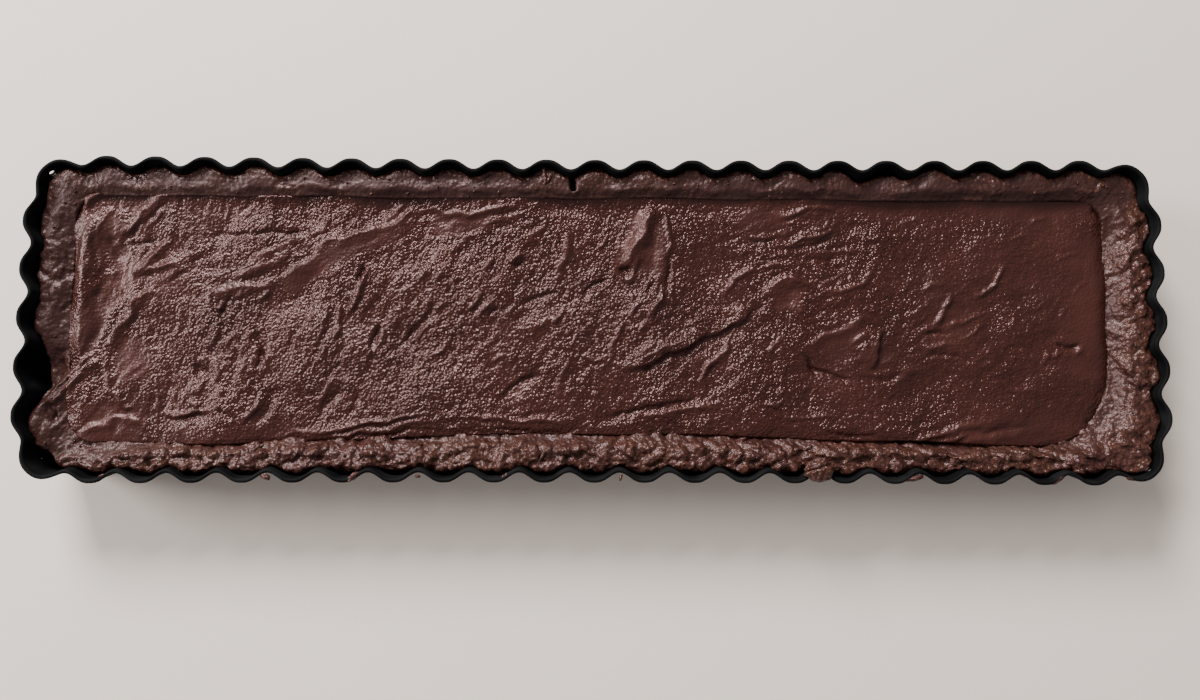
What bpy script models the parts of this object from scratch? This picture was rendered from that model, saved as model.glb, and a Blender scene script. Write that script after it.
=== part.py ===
"""A chocolate tart in its long fluted tin: the tin, the pastry case and the filling.

Metres, +Z up. The origin is under the middle of the tin, on the surface that it stands on.
+X runs along the long side and +Y towards the side where the pastry has its crack.
"""

import math
from collections import namedtuple

import bmesh
import bpy
from mathutils import Matrix, Vector, noise

MM = 0.001

# The tin. Its outline is the lip's outer edge: flutes that bulge outwards, with narrow valleys.
TIN_LENGTH = 355 * MM  # over the flutes' peaks
TIN_WIDTH = 101.6 * MM
TIN_HEIGHT = 25 * MM
PITCH = 15.24 * MM  # from one flute to the next, on all four sides
LONG_FLUTES = 21
SHORT_FLUTES = 5
FLUTE_DEPTH = 3.04 * MM
VALLEY_SHARPNESS = 1.4  # above 1 the peaks are wider than the valleys
FLUTES_AT_FOOT = 0.8  # the flutes' depth at the floor, as a share of their depth at the lip
FLARE = 4 * MM  # the lip stands this far out beyond the floor
LONG_WALL_BOW = 0.6 * MM  # the long walls draw in this much at their middle
SHORT_WALL_PULL = 0.7 * MM  # the short walls draw in this much where they meet the corners
WALL = 0.9 * MM
FLOOR = 1 * MM
LIP_WIDTH = 1.7 * MM
LIP_HEIGHT = 1.2 * MM
TIN_STEPS = 6  # points on each flute, and half of those on a corner's lobe
HANG_HOLE_RADIUS = 1.1 * MM
HANG_HOLE_DROP = 3.4 * MM  # from the lip's top to the hole's centre
HANG_HOLE_SIDES = 10

# The corner lobe, as two cubic arcs that meet at its middle: places from the tin's middle
LOBE_MIDDLE = Vector((171.9, 47.2)) * MM
LOBE_HANDLE_LONG = 7 * MM  # at the middle, towards the long side
LOBE_HANDLE_SHORT = 4.5 * MM  # at the middle, towards the short side
LOBE_HANDLE_VALLEY = 2.5 * MM

# The pastry case
CLEARANCE = 0.35 * MM  # between pieces that touch
CASE_INSET = 3.3 * MM  # from the tin's outline to the pastry, across a flute's peak
CASE_FLUTES = 0.6  # the pastry fills the flutes only this far
CASE_FLOOR = 4 * MM
CASE_STEPS = 4
CROWN_HEIGHT = 22.6 * MM
CROWN_LUMPS = 0.9 * MM
CROWN_LUMP_SIZE = 9 * MM
CROWN_ROUNDING = 1.6 * MM
CROWN_SHARE = 0.5  # the crown's flat top reaches this far towards the inner edge
INNER_DRAFT = 1.2 * MM  # the case's inner wall leans in this far
EDGE_WAVE = 0.9 * MM  # the inner edge wanders this far
EDGE_WAVE_SIZE = 26 * MM

# From the tin's outline to the inner edge of the pastry rim, on each side, and its corners
REACH_RIGHT = 16 * MM
REACH_BACK = 12 * MM
REACH_LEFT = 14.5 * MM
REACH_FRONT = 12.5 * MM
BACK_CORNER = 7 * MM
FRONT_LEFT_CORNER = 10 * MM
FRONT_RIGHT_CORNER = 24 * MM
FRONT_SWELL = 3.5 * MM  # the front rim is wider along its middle
FRONT_SWELL_HALF = 140 * MM

# Where the pastry has drawn away from the wall or slumped
Slump = namedtuple("Slump", "x y radius set_back drop")
SLUMPS = [
    Slump(-174 * MM, -17 * MM, 15 * MM, 6 * MM, 5 * MM),
    Slump(-172 * MM, -47 * MM, 11 * MM, 3.4 * MM, 1.5 * MM),
    Slump(88 * MM, 49 * MM, 15 * MM, 2.6 * MM, 2 * MM),
]

# The lump of dough that hangs over the front lip, and the crack across the back rim
LUMP_CENTRE = Vector((68.2, -46.4)) * MM
LUMP_SIZE = Vector((4.5, 3.5, 2.4)) * MM  # half its length and width, and its height
LUMP_SIDES = 12
LUMP_RINGS = 6
LUMP_ROOT_OFFSET = 3.4 * MM  # its root in the rim lies this far inside its centre
LUMP_ROOT_RADIUS = 1.8 * MM
LUMP_ROOT_DEPTH = 4.5 * MM
CRACK_X = -7 * MM
CRACK_WIDTH = 1.6 * MM
CRACK_FROM = 40.4 * MM
CRACK_TO = 49.4 * MM
CRACK_DEPTH = 6 * MM

# The filling: its level, how it meets the rim, and the spatula's main strokes
LEVEL = 19.2 * MM
EDGE_GAP_RISE = 0.5 * MM  # the rim's inner edge stands this far above the filling
SHEER = 0.9 * MM  # the level rises this much from the right end to the left
SURFACE_ROLL = 0.35 * MM
SURFACE_ROLL_SIZE = 17 * MM
GRID_ALONG = 56
GRID_ACROSS = 15
Stroke = namedtuple("Stroke", "name x0 y0 x1 y1 half_width height")
STROKES = [
    Stroke("left bank", -159.5, -16, -159.5, 32, 4.5, 1.6),
    Stroke("left peak", -163, -25, -153, -11.5, 4.5, 2.8),
    Stroke("long track", -158, -8, -143, 15, 7, -1.3),
    Stroke("track's far bank", -147.5, -19, -145, 0, 4.5, 1.5),
    Stroke("track's far bank turns", -145, 0, -133, 14, 4.5, 1.5),
    Stroke("feather", -145, 30, -134, 39, 5, 1.6),
    Stroke("second feather", -142, 14, -133, 24, 4.5, 1.4),
    Stroke("long fold", -112, 12, -96, 15, 4.5, 1.2),
    Stroke("long fold turns back", -96, 15, -84, 24, 4.5, 1.5),
    Stroke("long fold ends", -84, 24, -56, 34, 4.5, 1.3),
    Stroke("crease under the fold", -95, 10, -82, 19, 5, -1.5),
    Stroke("crease runs on", -82, 19, -66, 24, 5, -1.3),
    Stroke("pit", -122, -16, -121, -16, 5, -1.3),
    Stroke("short valley", -106, -4, -103, -15, 4.5, -1.2),
    Stroke("front valley", -99, -21, -104, -32, 4.5, -1.1),
    Stroke("front lip, left", -110, -34.5, -60, -31, 4.5, 1.4),
    Stroke("front lip, middle", -60, -31, -8, -30, 4.5, 1.1),
    Stroke("front lip, right", 2, -31, 38, -26.5, 4.5, 1.2),
    Stroke("fold's left flank", 9, 18, 19, 35, 4.5, 3.0),
    Stroke("fold's right flank", 24, 33, 23, 15, 4.5, 2.6),
    Stroke("fold's tail", 21.5, 10, 17, -1, 4, 2.0),
    Stroke("tongue's edge", 9, -10.5, 24, -9, 5.5, 1.5),
    Stroke("tongue's edge runs on", 24, -9, 46, 1.5, 5.5, 1.7),
    Stroke("hollow behind the tongue", 54, 4, 61, 9, 5.5, -1.9),
    Stroke("slanting ridge", 37, -15, 45, -4, 4.5, 1.0),
    Stroke("facet", 76, -5, 90, 1, 6, 1.3),
    Stroke("facet's crease", 69, -14, 82, -18, 4.5, -1.0),
    Stroke("back feather", 62, 26.5, 78, 33, 4.5, 1.4),
    Stroke("arc", 72, 11, 90, 17, 4.5, 0.8),
    Stroke("front wave, right", 100, -36, 122, -31, 4.5, 1.1),
    Stroke("right corner recess", 157, 27, 157, 36, 4.5, -2.4),
]

Station = namedtuple("Station", "base inward dip")


def clear_scene():
    for item in list(bpy.data.objects):
        bpy.data.objects.remove(item)


def make_material(name, colour, roughness, metallic=0.0):
    material = bpy.data.materials.new(name)
    material.use_nodes = True
    shader = material.node_tree.nodes["Principled BSDF"]
    shader.inputs["Base Color"].default_value = (*colour, 1)
    shader.inputs["Roughness"].default_value = roughness
    shader.inputs["Metallic"].default_value = metallic
    return material


def make_object(name, bm, material=None):
    """A shaded object from a bmesh; one with no material is a helper that isn't part of the tart."""
    bmesh.ops.recalc_face_normals(bm, faces=bm.faces)
    mesh = bpy.data.meshes.new(name)
    bm.to_mesh(mesh)
    bm.free()
    item = bpy.data.objects.new(name, mesh)
    bpy.context.scene.collection.objects.link(item)
    if material:
        mesh.materials.append(material)
    else:
        item.hide_render = True
        item.display_type = "WIRE"
    return item


def shade(item, angle_deg):
    item.data.shade_smooth()
    item.data.set_sharp_from_angle(angle=math.radians(angle_deg))


def boolean(item, operation, other):
    modifier = item.modifiers.new(other.name, "BOOLEAN")
    modifier.operation = operation
    modifier.solver = "EXACT"
    modifier.object = other


# --- The outline that everything follows ---


def flute_dip(phase):
    """How far into a valley a place lies: 0 on a flute's peak, 1 at half a pitch from it."""
    return ((1 - math.cos(math.tau * phase)) / 2) ** VALLEY_SHARPNESS


def smooth_bump(distance, radius):
    """1 at the middle, easing to 0 at the radius."""
    share = min(abs(distance) / radius, 1)
    return (1 - share * share) ** 2


def cubic(points, t):
    a, b, c, d = points
    s = 1 - t
    return a * s**3 + b * 3 * s * s * t + c * 3 * s * t * t + d * t**3


def short_side(steps):
    """The right-hand short side, from front to back."""
    half = SHORT_FLUTES * PITCH / 2
    for step in range(SHORT_FLUTES * steps):
        y = -half + step * PITCH / steps
        x = TIN_LENGTH / 2 - SHORT_WALL_PULL * abs(y / half) ** 6
        yield Station(Vector((x, y)), Vector((-1, 0)), flute_dip(y / PITCH))


def long_side(steps):
    """The back long side, from right to left."""
    half = LONG_FLUTES * PITCH / 2
    for step in range(LONG_FLUTES * steps):
        x = half - step * PITCH / steps
        y = TIN_WIDTH / 2 - LONG_WALL_BOW * (1 - (x / half) ** 2)
        yield Station(Vector((x, y)), Vector((0, -1)), flute_dip(x / PITCH))


def corner_lobe(steps):
    """The back right corner's lobe, from the short side to the long side."""
    across = Vector((1, -1)).normalized()
    side_x = TIN_LENGTH / 2 - SHORT_WALL_PULL - FLUTE_DEPTH
    short_end = Vector((side_x, SHORT_FLUTES * PITCH / 2))
    long_end = Vector((LONG_FLUTES * PITCH / 2, TIN_WIDTH / 2 - FLUTE_DEPTH))
    middle = LOBE_MIDDLE
    up = Vector((0, LOBE_HANDLE_VALLEY))
    right = Vector((LOBE_HANDLE_VALLEY, 0))
    first = [short_end, short_end + up, middle + across * LOBE_HANDLE_SHORT, middle]
    second = [middle, middle - across * LOBE_HANDLE_LONG, long_end + right, long_end]
    for step in range(2 * steps):
        t = step / (2 * steps)
        place = cubic(first, 2 * t) if t < 0.5 else cubic(second, 2 * t - 1)
        outward = Vector((math.cos(t * math.pi / 2), math.sin(t * math.pi / 2)))
        dip = flute_dip(t - 0.5)
        yield Station(place + outward * FLUTE_DEPTH * dip, -outward, dip)


def turned(stations):
    """The same stations half a turn round the tin."""
    return [s._replace(base=-s.base, inward=-s.inward) for s in stations]


def mirrored(stations):
    """The same stations on the tin's left half, met in the opposite order."""
    flip = Vector((-1, 1))
    return [s._replace(base=s.base * flip, inward=s.inward * flip) for s in reversed(stations)]


def lobe_with_end(steps):
    """A corner lobe and the first station of the long side, so that a mirrored lobe closes."""
    return list(corner_lobe(steps)) + [next(long_side(steps))]


def outline(steps):
    """Every station round the tin, counter-clockwise from the front end of the right side."""
    left_lobe = mirrored(lobe_with_end(steps))[:-1]
    half = list(short_side(steps)) + list(corner_lobe(steps)) + list(long_side(steps)) + left_lobe
    return half + turned(half)


def wall_inset(z):
    """How far the tin's wall has drawn in at a height, from its outline at the lip."""
    return FLARE * (1 - z / TIN_HEIGHT)


def wall_flutes(z):
    return FLUTES_AT_FOOT + (1 - FLUTES_AT_FOOT) * z / TIN_HEIGHT


def place(station, inset, flutes, z):
    """A station's point at an inset from the outline, with its flutes that deep."""
    flat = station.base + station.inward * (inset + flutes * FLUTE_DEPTH * station.dip)
    return Vector((flat.x, flat.y, z))


# --- Building ring by ring ---


def first_ring(bm, points):
    ring = [bm.verts.new(point) for point in points]
    for start, end in zip(ring, ring[1:] + ring[:1]):
        bm.edges.new((start, end))
    return ring


def next_ring(bm, ring, points):
    """Extrudes a closed ring and moves the new ring to its points."""
    edges = [bm.edges.get(pair) for pair in zip(ring, ring[1:] + ring[:1])]
    made = bmesh.ops.extrude_edge_only(bm, edges=edges)["geom"]
    fresh = {item for item in made if isinstance(item, bmesh.types.BMVert)}
    follow = []
    for vert, point in zip(ring, points):
        new = next(e.other_vert(vert) for e in vert.link_edges if e.other_vert(vert) in fresh)
        new.co = point
        follow.append(new)
    return follow


def solid_of_rings(rings):
    """A closed bmesh through rings of points, capped flat at both ends."""
    bm = bmesh.new()
    ring = first_ring(bm, rings[0])
    bm.faces.new(ring)
    for points in rings[1:]:
        ring = next_ring(bm, ring, points)
    bm.faces.new(ring)
    return bm


# --- The tin ---


def tin_ring(stations, inset, z):
    return [place(s, inset + wall_inset(z), wall_flutes(z), z) for s in stations]


def hang_hole(corner):
    """A cutter through the wall at a corner lobe, which is given by the signs of x and y."""
    outward = Vector((*corner, 0)).normalized()
    z = TIN_HEIGHT - HANG_HOLE_DROP
    centre = Vector((LOBE_MIDDLE.x * corner[0], LOBE_MIDDLE.y * corner[1], z))
    turn = outward.to_track_quat("Z", "Y").to_matrix().to_4x4()
    bm = bmesh.new()
    bmesh.ops.create_cone(
        bm,
        cap_ends=True,
        segments=HANG_HOLE_SIDES,
        radius1=HANG_HOLE_RADIUS,
        radius2=HANG_HOLE_RADIUS,
        depth=8 * WALL,
        matrix=Matrix.Translation(centre) @ turn,
    )
    return make_object("hang_hole_cutter", bm)


def make_tin(material):
    stations = outline(TIN_STEPS)
    under_lip = TIN_HEIGHT - LIP_HEIGHT
    outer = LIP_WIDTH - WALL
    rings = [
        tin_ring(stations, outer, 0),
        tin_ring(stations, outer, under_lip),
        tin_ring(stations, 0, under_lip),
        tin_ring(stations, 0, TIN_HEIGHT),
        tin_ring(stations, LIP_WIDTH, TIN_HEIGHT),
        tin_ring(stations, LIP_WIDTH, FLOOR),
    ]
    tin = make_object("tin", solid_of_rings(rings), material)
    boolean(tin, "DIFFERENCE", hang_hole((-1, 1)))
    boolean(tin, "DIFFERENCE", hang_hole((1, -1)))
    shade(tin, 40)
    return tin


# --- The pastry case ---


def slump_at(station):
    """How far the pastry has set back from the wall and dropped at a station."""
    set_back = drop = 0
    for slump in SLUMPS:
        distance = (station.base - Vector((slump.x, slump.y))).length
        share = smooth_bump(distance, slump.radius)
        set_back += slump.set_back * share
        drop += slump.drop * share
    return set_back, drop


def lumps(station, size, height, seed):
    flat = station.base / size
    return height * noise.noise(Vector((flat.x, flat.y, seed)))


def reach(station):
    """The pastry rim's width from the tin's outline, on the short and the long side nearest."""
    swell = FRONT_SWELL * smooth_bump(station.base.x, FRONT_SWELL_HALF)
    short = REACH_RIGHT if station.base.x > 0 else REACH_LEFT
    long = REACH_BACK if station.base.y > 0 else REACH_FRONT + swell
    return Vector((short, long))


def corner_radius(station):
    """The radius of the inner edge's corner that is nearest."""
    front = FRONT_RIGHT_CORNER if station.base.x > 0 else FRONT_LEFT_CORNER
    return BACK_CORNER if station.base.y > 0 else front


def inner_place(station, inset, z):
    """A station's point on the rim's inner edge, a rounded rectangle, or at an inset from it."""
    side_end = Vector((LONG_FLUTES, SHORT_FLUTES)) * PITCH / 2
    radius = corner_radius(station)
    room = Vector((TIN_LENGTH, TIN_WIDTH)) / 2 - reach(station) - Vector((radius, radius))
    along = min(max(station.base.x / side_end.x, -1), 1)
    across = min(max(station.base.y / side_end.y, -1), 1)
    wave = lumps(station, EDGE_WAVE_SIZE, EDGE_WAVE, 3.7)
    flat = Vector((along * room.x, across * room.y)) - station.inward * (radius - inset - wave)
    return Vector((flat.x, flat.y, z))


def inner_edge_height(station):
    return filling_level(station.base.x) + EDGE_GAP_RISE


def case_place(station, inset, z):
    return place(station, inset, CASE_FLUTES * wall_flutes(z), z)


def case_rings(stations):
    """The case from its underside, up its outer wall, over the crown and down inside."""
    under, outer, crown_out, crown_in, lip, floor = [], [], [], [], [], []
    bottom = FLOOR + CLEARANCE
    for s in stations:
        set_back, drop = slump_at(s)
        crown = CROWN_HEIGHT - drop + lumps(s, CROWN_LUMP_SIZE, CROWN_LUMPS, 0.4)
        side = CASE_INSET + set_back
        shoulder = crown - CROWN_ROUNDING
        under.append(case_place(s, CASE_INSET + wall_inset(bottom), bottom))
        outer.append(case_place(s, side + wall_inset(shoulder), shoulder))
        crown_out.append(case_place(s, side + CROWN_ROUNDING, crown))
        lip.append(inner_place(s, 0, inner_edge_height(s)))
        crown_in.append(crown_out[-1].lerp(lip[-1], CROWN_SHARE))
        crown_in[-1].z = crown + lumps(s, CROWN_LUMP_SIZE, CROWN_LUMPS, 6.1)
        floor.append(inner_place(s, INNER_DRAFT, bottom + CASE_FLOOR))
    return [under, outer, crown_out, crown_in, lip, floor]


def dough_lump():
    """The lump's dome over the lip, on a root that reaches down into the pastry rim."""
    base = TIN_HEIGHT + CLEARANCE
    middle = Vector((LUMP_CENTRE.x, LUMP_CENTRE.y, base))
    bm = bmesh.new()
    bmesh.ops.create_uvsphere(bm, u_segments=LUMP_SIDES, v_segments=LUMP_RINGS, radius=1)
    bmesh.ops.scale(bm, vec=LUMP_SIZE, verts=bm.verts)
    bmesh.ops.translate(bm, vec=middle, verts=bm.verts)
    cut = bmesh.ops.bisect_plane(
        bm,
        geom=list(bm.verts) + list(bm.edges) + list(bm.faces),
        plane_co=middle,
        plane_no=(0, 0, -1),
        clear_outer=True,
        dist=0.01 * MM,
    )
    rim = [item for item in cut["geom_cut"] if isinstance(item, bmesh.types.BMEdge)]
    bmesh.ops.edgeloop_fill(bm, edges=rim)
    return make_object("dough_lump_dome", bm)


def dough_root():
    """The stub that carries the lump up from the rim, clear of the tin's lip."""
    top = TIN_HEIGHT + CLEARANCE + LUMP_SIZE.z / 3
    centre = Vector((LUMP_CENTRE.x, LUMP_CENTRE.y + LUMP_ROOT_OFFSET, top - LUMP_ROOT_DEPTH / 2))
    bm = bmesh.new()
    bmesh.ops.create_cone(
        bm,
        cap_ends=True,
        segments=LUMP_SIDES,
        radius1=LUMP_ROOT_RADIUS,
        radius2=LUMP_ROOT_RADIUS,
        depth=LUMP_ROOT_DEPTH,
        matrix=Matrix.Translation(centre),
    )
    return make_object("dough_lump_root", bm)


def crack():
    """A wedge, open at the crown, that splits the back rim."""
    middle = (CRACK_FROM + CRACK_TO) / 2
    tip = CROWN_HEIGHT - CRACK_DEPTH
    bm = bmesh.new()
    bmesh.ops.create_cube(bm, size=1)
    bmesh.ops.scale(bm, vec=(CRACK_WIDTH, CRACK_TO - CRACK_FROM, 2 * CRACK_DEPTH), verts=bm.verts)
    bmesh.ops.translate(bm, vec=(CRACK_X, middle, tip + CRACK_DEPTH), verts=bm.verts)
    for vert in bm.verts:
        if vert.co.z < CROWN_HEIGHT - CRACK_DEPTH / 2:
            vert.co.x = CRACK_X + (vert.co.x - CRACK_X) / 4
    return make_object("crack_cutter", bm)


def make_case(material):
    case = make_object("pastry_case", solid_of_rings(case_rings(outline(CASE_STEPS))), material)
    boolean(case, "UNION", dough_root())
    boolean(case, "UNION", dough_lump())
    boolean(case, "DIFFERENCE", crack())
    shade(case, 50)
    return case


# --- The filling ---


def filling_level(x):
    """The filling's level before the spatula's strokes: a little higher at the left end."""
    return LEVEL - SHEER * x / TIN_LENGTH


def stroke_height(stroke, x, y):
    """A stroke's rise or dip at a point: a smooth ridge along a straight run."""
    start = Vector((stroke.x0, stroke.y0)) * MM
    run = Vector((stroke.x1, stroke.y1)) * MM - start
    point = Vector((x, y)) - start
    along = min(max(point.dot(run) / run.length_squared, 0), 1)
    distance = (point - run * along).length
    return stroke.height * MM * smooth_bump(distance, stroke.half_width * MM)


def filling_height(x, y):
    roll = SURFACE_ROLL * noise.noise(Vector((x, y, 1.3 * SURFACE_ROLL_SIZE)) / SURFACE_ROLL_SIZE)
    return filling_level(x) + roll + sum(stroke_height(s, x, y) for s in STROKES)


def filling_slab():
    """The spread surface over a block that reaches past the case's inner wall on all sides."""
    bottom = FLOOR + 2 * CLEARANCE + CASE_FLOOR
    bm = bmesh.new()
    bmesh.ops.create_grid(bm, x_segments=GRID_ALONG, y_segments=GRID_ACROSS, size=0.5)
    bmesh.ops.scale(bm, vec=(TIN_LENGTH, TIN_WIDTH, 1), verts=bm.verts)
    top = list(bm.faces)
    made = bmesh.ops.extrude_face_region(bm, geom=top, use_keep_orig=True)["geom"]
    raised = {item for item in made if isinstance(item, bmesh.types.BMVert)}
    for vert in bm.verts:
        vert.co.z = filling_height(vert.co.x, vert.co.y) if vert in raised else bottom
    return bm


def filling_plug():
    """The inside of the case, less the clearance, carried up past the surface."""
    stations = outline(CASE_STEPS)
    below = FLOOR + CLEARANCE + CASE_FLOOR
    above = TIN_HEIGHT + 2 * LUMP_SIZE.z
    rings = [
        [inner_place(s, INNER_DRAFT + CLEARANCE, below) for s in stations],
        [inner_place(s, CLEARANCE, inner_edge_height(s)) for s in stations],
        [inner_place(s, CLEARANCE, above) for s in stations],
    ]
    return make_object("filling_plug", solid_of_rings(rings))


def make_filling(material):
    filling = make_object("filling", filling_slab(), material)
    boolean(filling, "INTERSECT", filling_plug())
    shade(filling, 60)
    return filling


def main():
    clear_scene()
    make_tin(make_material("tin_coating", (0.011, 0.011, 0.012), 0.42))
    make_case(make_material("cocoa_pastry", (0.105, 0.055, 0.042), 0.85))
    make_filling(make_material("chocolate_filling", (0.075, 0.032, 0.024), 0.5))


main()
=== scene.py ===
"""The finished surfaces of a chocolate tart in its long fluted tin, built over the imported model.

Metres, +Z up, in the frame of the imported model. The tin, the pastry case and the filling are
dense meshes that stand for the model's plainer solids. Places in the tables are in millimetres
from the middle of the tin: x along it, y towards the side whose pastry has the crack.
"""

import math
import random
from collections import namedtuple

import bmesh
import bpy
import numpy as np
from mathutils import Euler, Matrix, Vector, noise
from mathutils.bvhtree import BVHTree


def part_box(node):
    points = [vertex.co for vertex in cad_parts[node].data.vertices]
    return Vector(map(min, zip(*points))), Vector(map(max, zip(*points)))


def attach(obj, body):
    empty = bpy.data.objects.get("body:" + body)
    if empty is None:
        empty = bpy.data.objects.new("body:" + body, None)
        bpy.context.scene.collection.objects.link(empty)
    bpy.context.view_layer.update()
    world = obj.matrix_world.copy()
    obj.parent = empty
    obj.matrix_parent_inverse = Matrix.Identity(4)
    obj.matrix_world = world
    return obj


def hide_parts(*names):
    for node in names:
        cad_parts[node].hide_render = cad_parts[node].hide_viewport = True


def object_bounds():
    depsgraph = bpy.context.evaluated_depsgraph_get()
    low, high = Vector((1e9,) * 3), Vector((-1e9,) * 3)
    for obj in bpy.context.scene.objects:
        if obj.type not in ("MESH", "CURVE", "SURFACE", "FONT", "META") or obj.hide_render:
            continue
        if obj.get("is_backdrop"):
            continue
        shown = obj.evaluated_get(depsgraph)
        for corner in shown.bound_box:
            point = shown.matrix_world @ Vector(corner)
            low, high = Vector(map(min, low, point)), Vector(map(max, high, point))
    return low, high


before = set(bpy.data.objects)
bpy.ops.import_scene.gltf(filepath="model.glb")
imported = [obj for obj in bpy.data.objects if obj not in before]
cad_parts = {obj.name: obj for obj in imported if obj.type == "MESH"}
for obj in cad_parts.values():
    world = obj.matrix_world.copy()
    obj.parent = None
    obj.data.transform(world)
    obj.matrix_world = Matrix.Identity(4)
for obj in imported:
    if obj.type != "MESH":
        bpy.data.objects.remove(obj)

bl_info = {
    "name": "Chocolate tart",
    "version": (1, 0, 0),
    "blender": (4, 5, 0),
    "location": "View3D > Sidebar > Tart",
    "description": "Builds a chocolate tart, with its pastry case, in a long fluted tin",
    "category": "Add Mesh",
}

MM = 0.001
BODY = "root"
NOISE_SEED = 1795414649  # until one is set, noise_vector takes its offsets from the clock

# --- The tin's outline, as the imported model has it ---

TIN_LOW, TIN_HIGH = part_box("tin")
TIN_LENGTH = TIN_HIGH.x - TIN_LOW.x
TIN_WIDTH = 101.6 * MM  # over the flutes at the ends of the long walls, which bow in a little
TIN_HEIGHT = TIN_HIGH.z
PITCH = 15.24 * MM
LONG_FLUTES = 21
SHORT_FLUTES = 5
FLUTE_DEPTH = 3.04 * MM
VALLEY_SHARPNESS = 1.4
FLUTES_AT_FOOT = 0.8
FLARE = 4 * MM
LONG_WALL_BOW = 0.6 * MM
SHORT_WALL_PULL = 0.7 * MM
LOBE_MIDDLE = Vector((171.9, 47.2)) * MM
LOBE_HANDLE_LONG = 7 * MM
LOBE_HANDLE_SHORT = 4.5 * MM
LOBE_HANDLE_VALLEY = 2.5 * MM
LIP_WIDTH = 1.35 * MM
LIP_HEIGHT = 1.2 * MM
WALL = 0.9 * MM
FLOOR = 1 * MM

# --- The pastry and the filling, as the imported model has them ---

CLEARANCE = 0.35 * MM
CASE_INSET = 3.1 * MM
CASE_FLUTES = 0.72
# The rim on the left and front, and on the right and back, where it has baked on to the wall
RIM_SPREAD = (0.3 * MM, 1.5 * MM)
RIM_FLUTES = (0.5, 0.93)
CASE_FLOOR = 4 * MM
CROWN_HEIGHT = 22.6 * MM
REACH_RIGHT = 16 * MM
REACH_BACK = 12 * MM
REACH_LEFT = 14.5 * MM
REACH_FRONT = 12.5 * MM
BACK_CORNER = 7 * MM
FRONT_LEFT_CORNER = 10 * MM
FRONT_RIGHT_CORNER = 24 * MM
FRONT_SWELL = 3.5 * MM
FRONT_SWELL_HALF = 140 * MM
EDGE_WAVE = 0.9 * MM
EDGE_WAVE_SIZE = 26 * MM
LEVEL = 19.2 * MM
SHEER = 0.9 * MM
LUMP_CENTRE = Vector((68.2, -46.4)) * MM

Station = namedtuple("Station", "base inward dip")


# --- The outline ---


def flute_dip(phase):
    """How far into a valley a place lies: 0 on a flute's peak, 1 at half a pitch from it."""
    return ((1 - math.cos(math.tau * phase)) / 2) ** VALLEY_SHARPNESS


def smooth_bump(distance, radius):
    """1 at the middle, easing to 0 at the radius."""
    share = min(abs(distance) / radius, 1)
    return (1 - share * share) ** 2


def ease(t):
    """0 to 1 with level ends, for a number or an array."""
    t = np.clip(t, 0, 1)
    return t * t * (3 - 2 * t)


def rise(value, start, over):
    """0 up to a place, easing to 1 over a distance from there."""
    return float(ease((value - start) / over))


def cubic(points, t):
    a, b, c, d = points
    s = 1 - t
    return a * s**3 + b * 3 * s * s * t + c * 3 * s * t * t + d * t**3


def short_side(steps):
    """The right-hand short side, from front to back."""
    half = SHORT_FLUTES * PITCH / 2
    for step in range(SHORT_FLUTES * steps):
        y = -half + step * PITCH / steps
        x = TIN_LENGTH / 2 - SHORT_WALL_PULL * abs(y / half) ** 6
        yield Station(Vector((x, y)), Vector((-1, 0)), flute_dip(y / PITCH))


def long_side(steps):
    """The back long side, from right to left."""
    half = LONG_FLUTES * PITCH / 2
    for step in range(LONG_FLUTES * steps):
        x = half - step * PITCH / steps
        y = TIN_WIDTH / 2 - LONG_WALL_BOW * (1 - (x / half) ** 2)
        yield Station(Vector((x, y)), Vector((0, -1)), flute_dip(x / PITCH))


def corner_lobe(steps):
    """The back right corner's lobe, from the short side to the long side."""
    across = Vector((1, -1)).normalized()
    side_x = TIN_LENGTH / 2 - SHORT_WALL_PULL - FLUTE_DEPTH
    short_end = Vector((side_x, SHORT_FLUTES * PITCH / 2))
    long_end = Vector((LONG_FLUTES * PITCH / 2, TIN_WIDTH / 2 - FLUTE_DEPTH))
    middle = LOBE_MIDDLE
    up = Vector((0, LOBE_HANDLE_VALLEY))
    right = Vector((LOBE_HANDLE_VALLEY, 0))
    first = [short_end, short_end + up, middle + across * LOBE_HANDLE_SHORT, middle]
    second = [middle, middle - across * LOBE_HANDLE_LONG, long_end + right, long_end]
    for step in range(2 * steps):
        t = step / (2 * steps)
        place = cubic(first, 2 * t) if t < 0.5 else cubic(second, 2 * t - 1)
        outward = Vector((math.cos(t * math.pi / 2), math.sin(t * math.pi / 2)))
        dip = flute_dip(t - 0.5)
        yield Station(place + outward * FLUTE_DEPTH * dip, -outward, dip)


def turned(stations):
    """The same stations half a turn round the tin."""
    return [s._replace(base=-s.base, inward=-s.inward) for s in stations]


def mirrored(stations):
    """The same stations on the tin's left half, met in the opposite order."""
    flip = Vector((-1, 1))
    return [s._replace(base=s.base * flip, inward=s.inward * flip) for s in reversed(stations)]


def outline(steps):
    """Every station round the tin, counter-clockwise from the front end of the right side."""
    lobe = list(corner_lobe(steps))
    left_lobe = mirrored(lobe + [next(long_side(steps))])[:-1]
    half = list(short_side(steps)) + lobe + list(long_side(steps)) + left_lobe
    return half + turned(half)


def wall_inset(z):
    """How far the tin's wall has drawn in at a height, from its outline at the lip."""
    return FLARE * (1 - z / TIN_HEIGHT)


def wall_flutes(z):
    return FLUTES_AT_FOOT + (1 - FLUTES_AT_FOOT) * z / TIN_HEIGHT


def place(station, inset, flutes, z):
    """A station's point at an inset from the outline, with its flutes that deep."""
    flat = station.base + station.inward * (inset + flutes * FLUTE_DEPTH * station.dip)
    return Vector((flat.x, flat.y, z))


# --- Building meshes ---


def first_ring(bm, points):
    ring = [bm.verts.new(point) for point in points]
    for start, end in zip(ring, ring[1:] + ring[:1]):
        bm.edges.new((start, end))
    return ring


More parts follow.
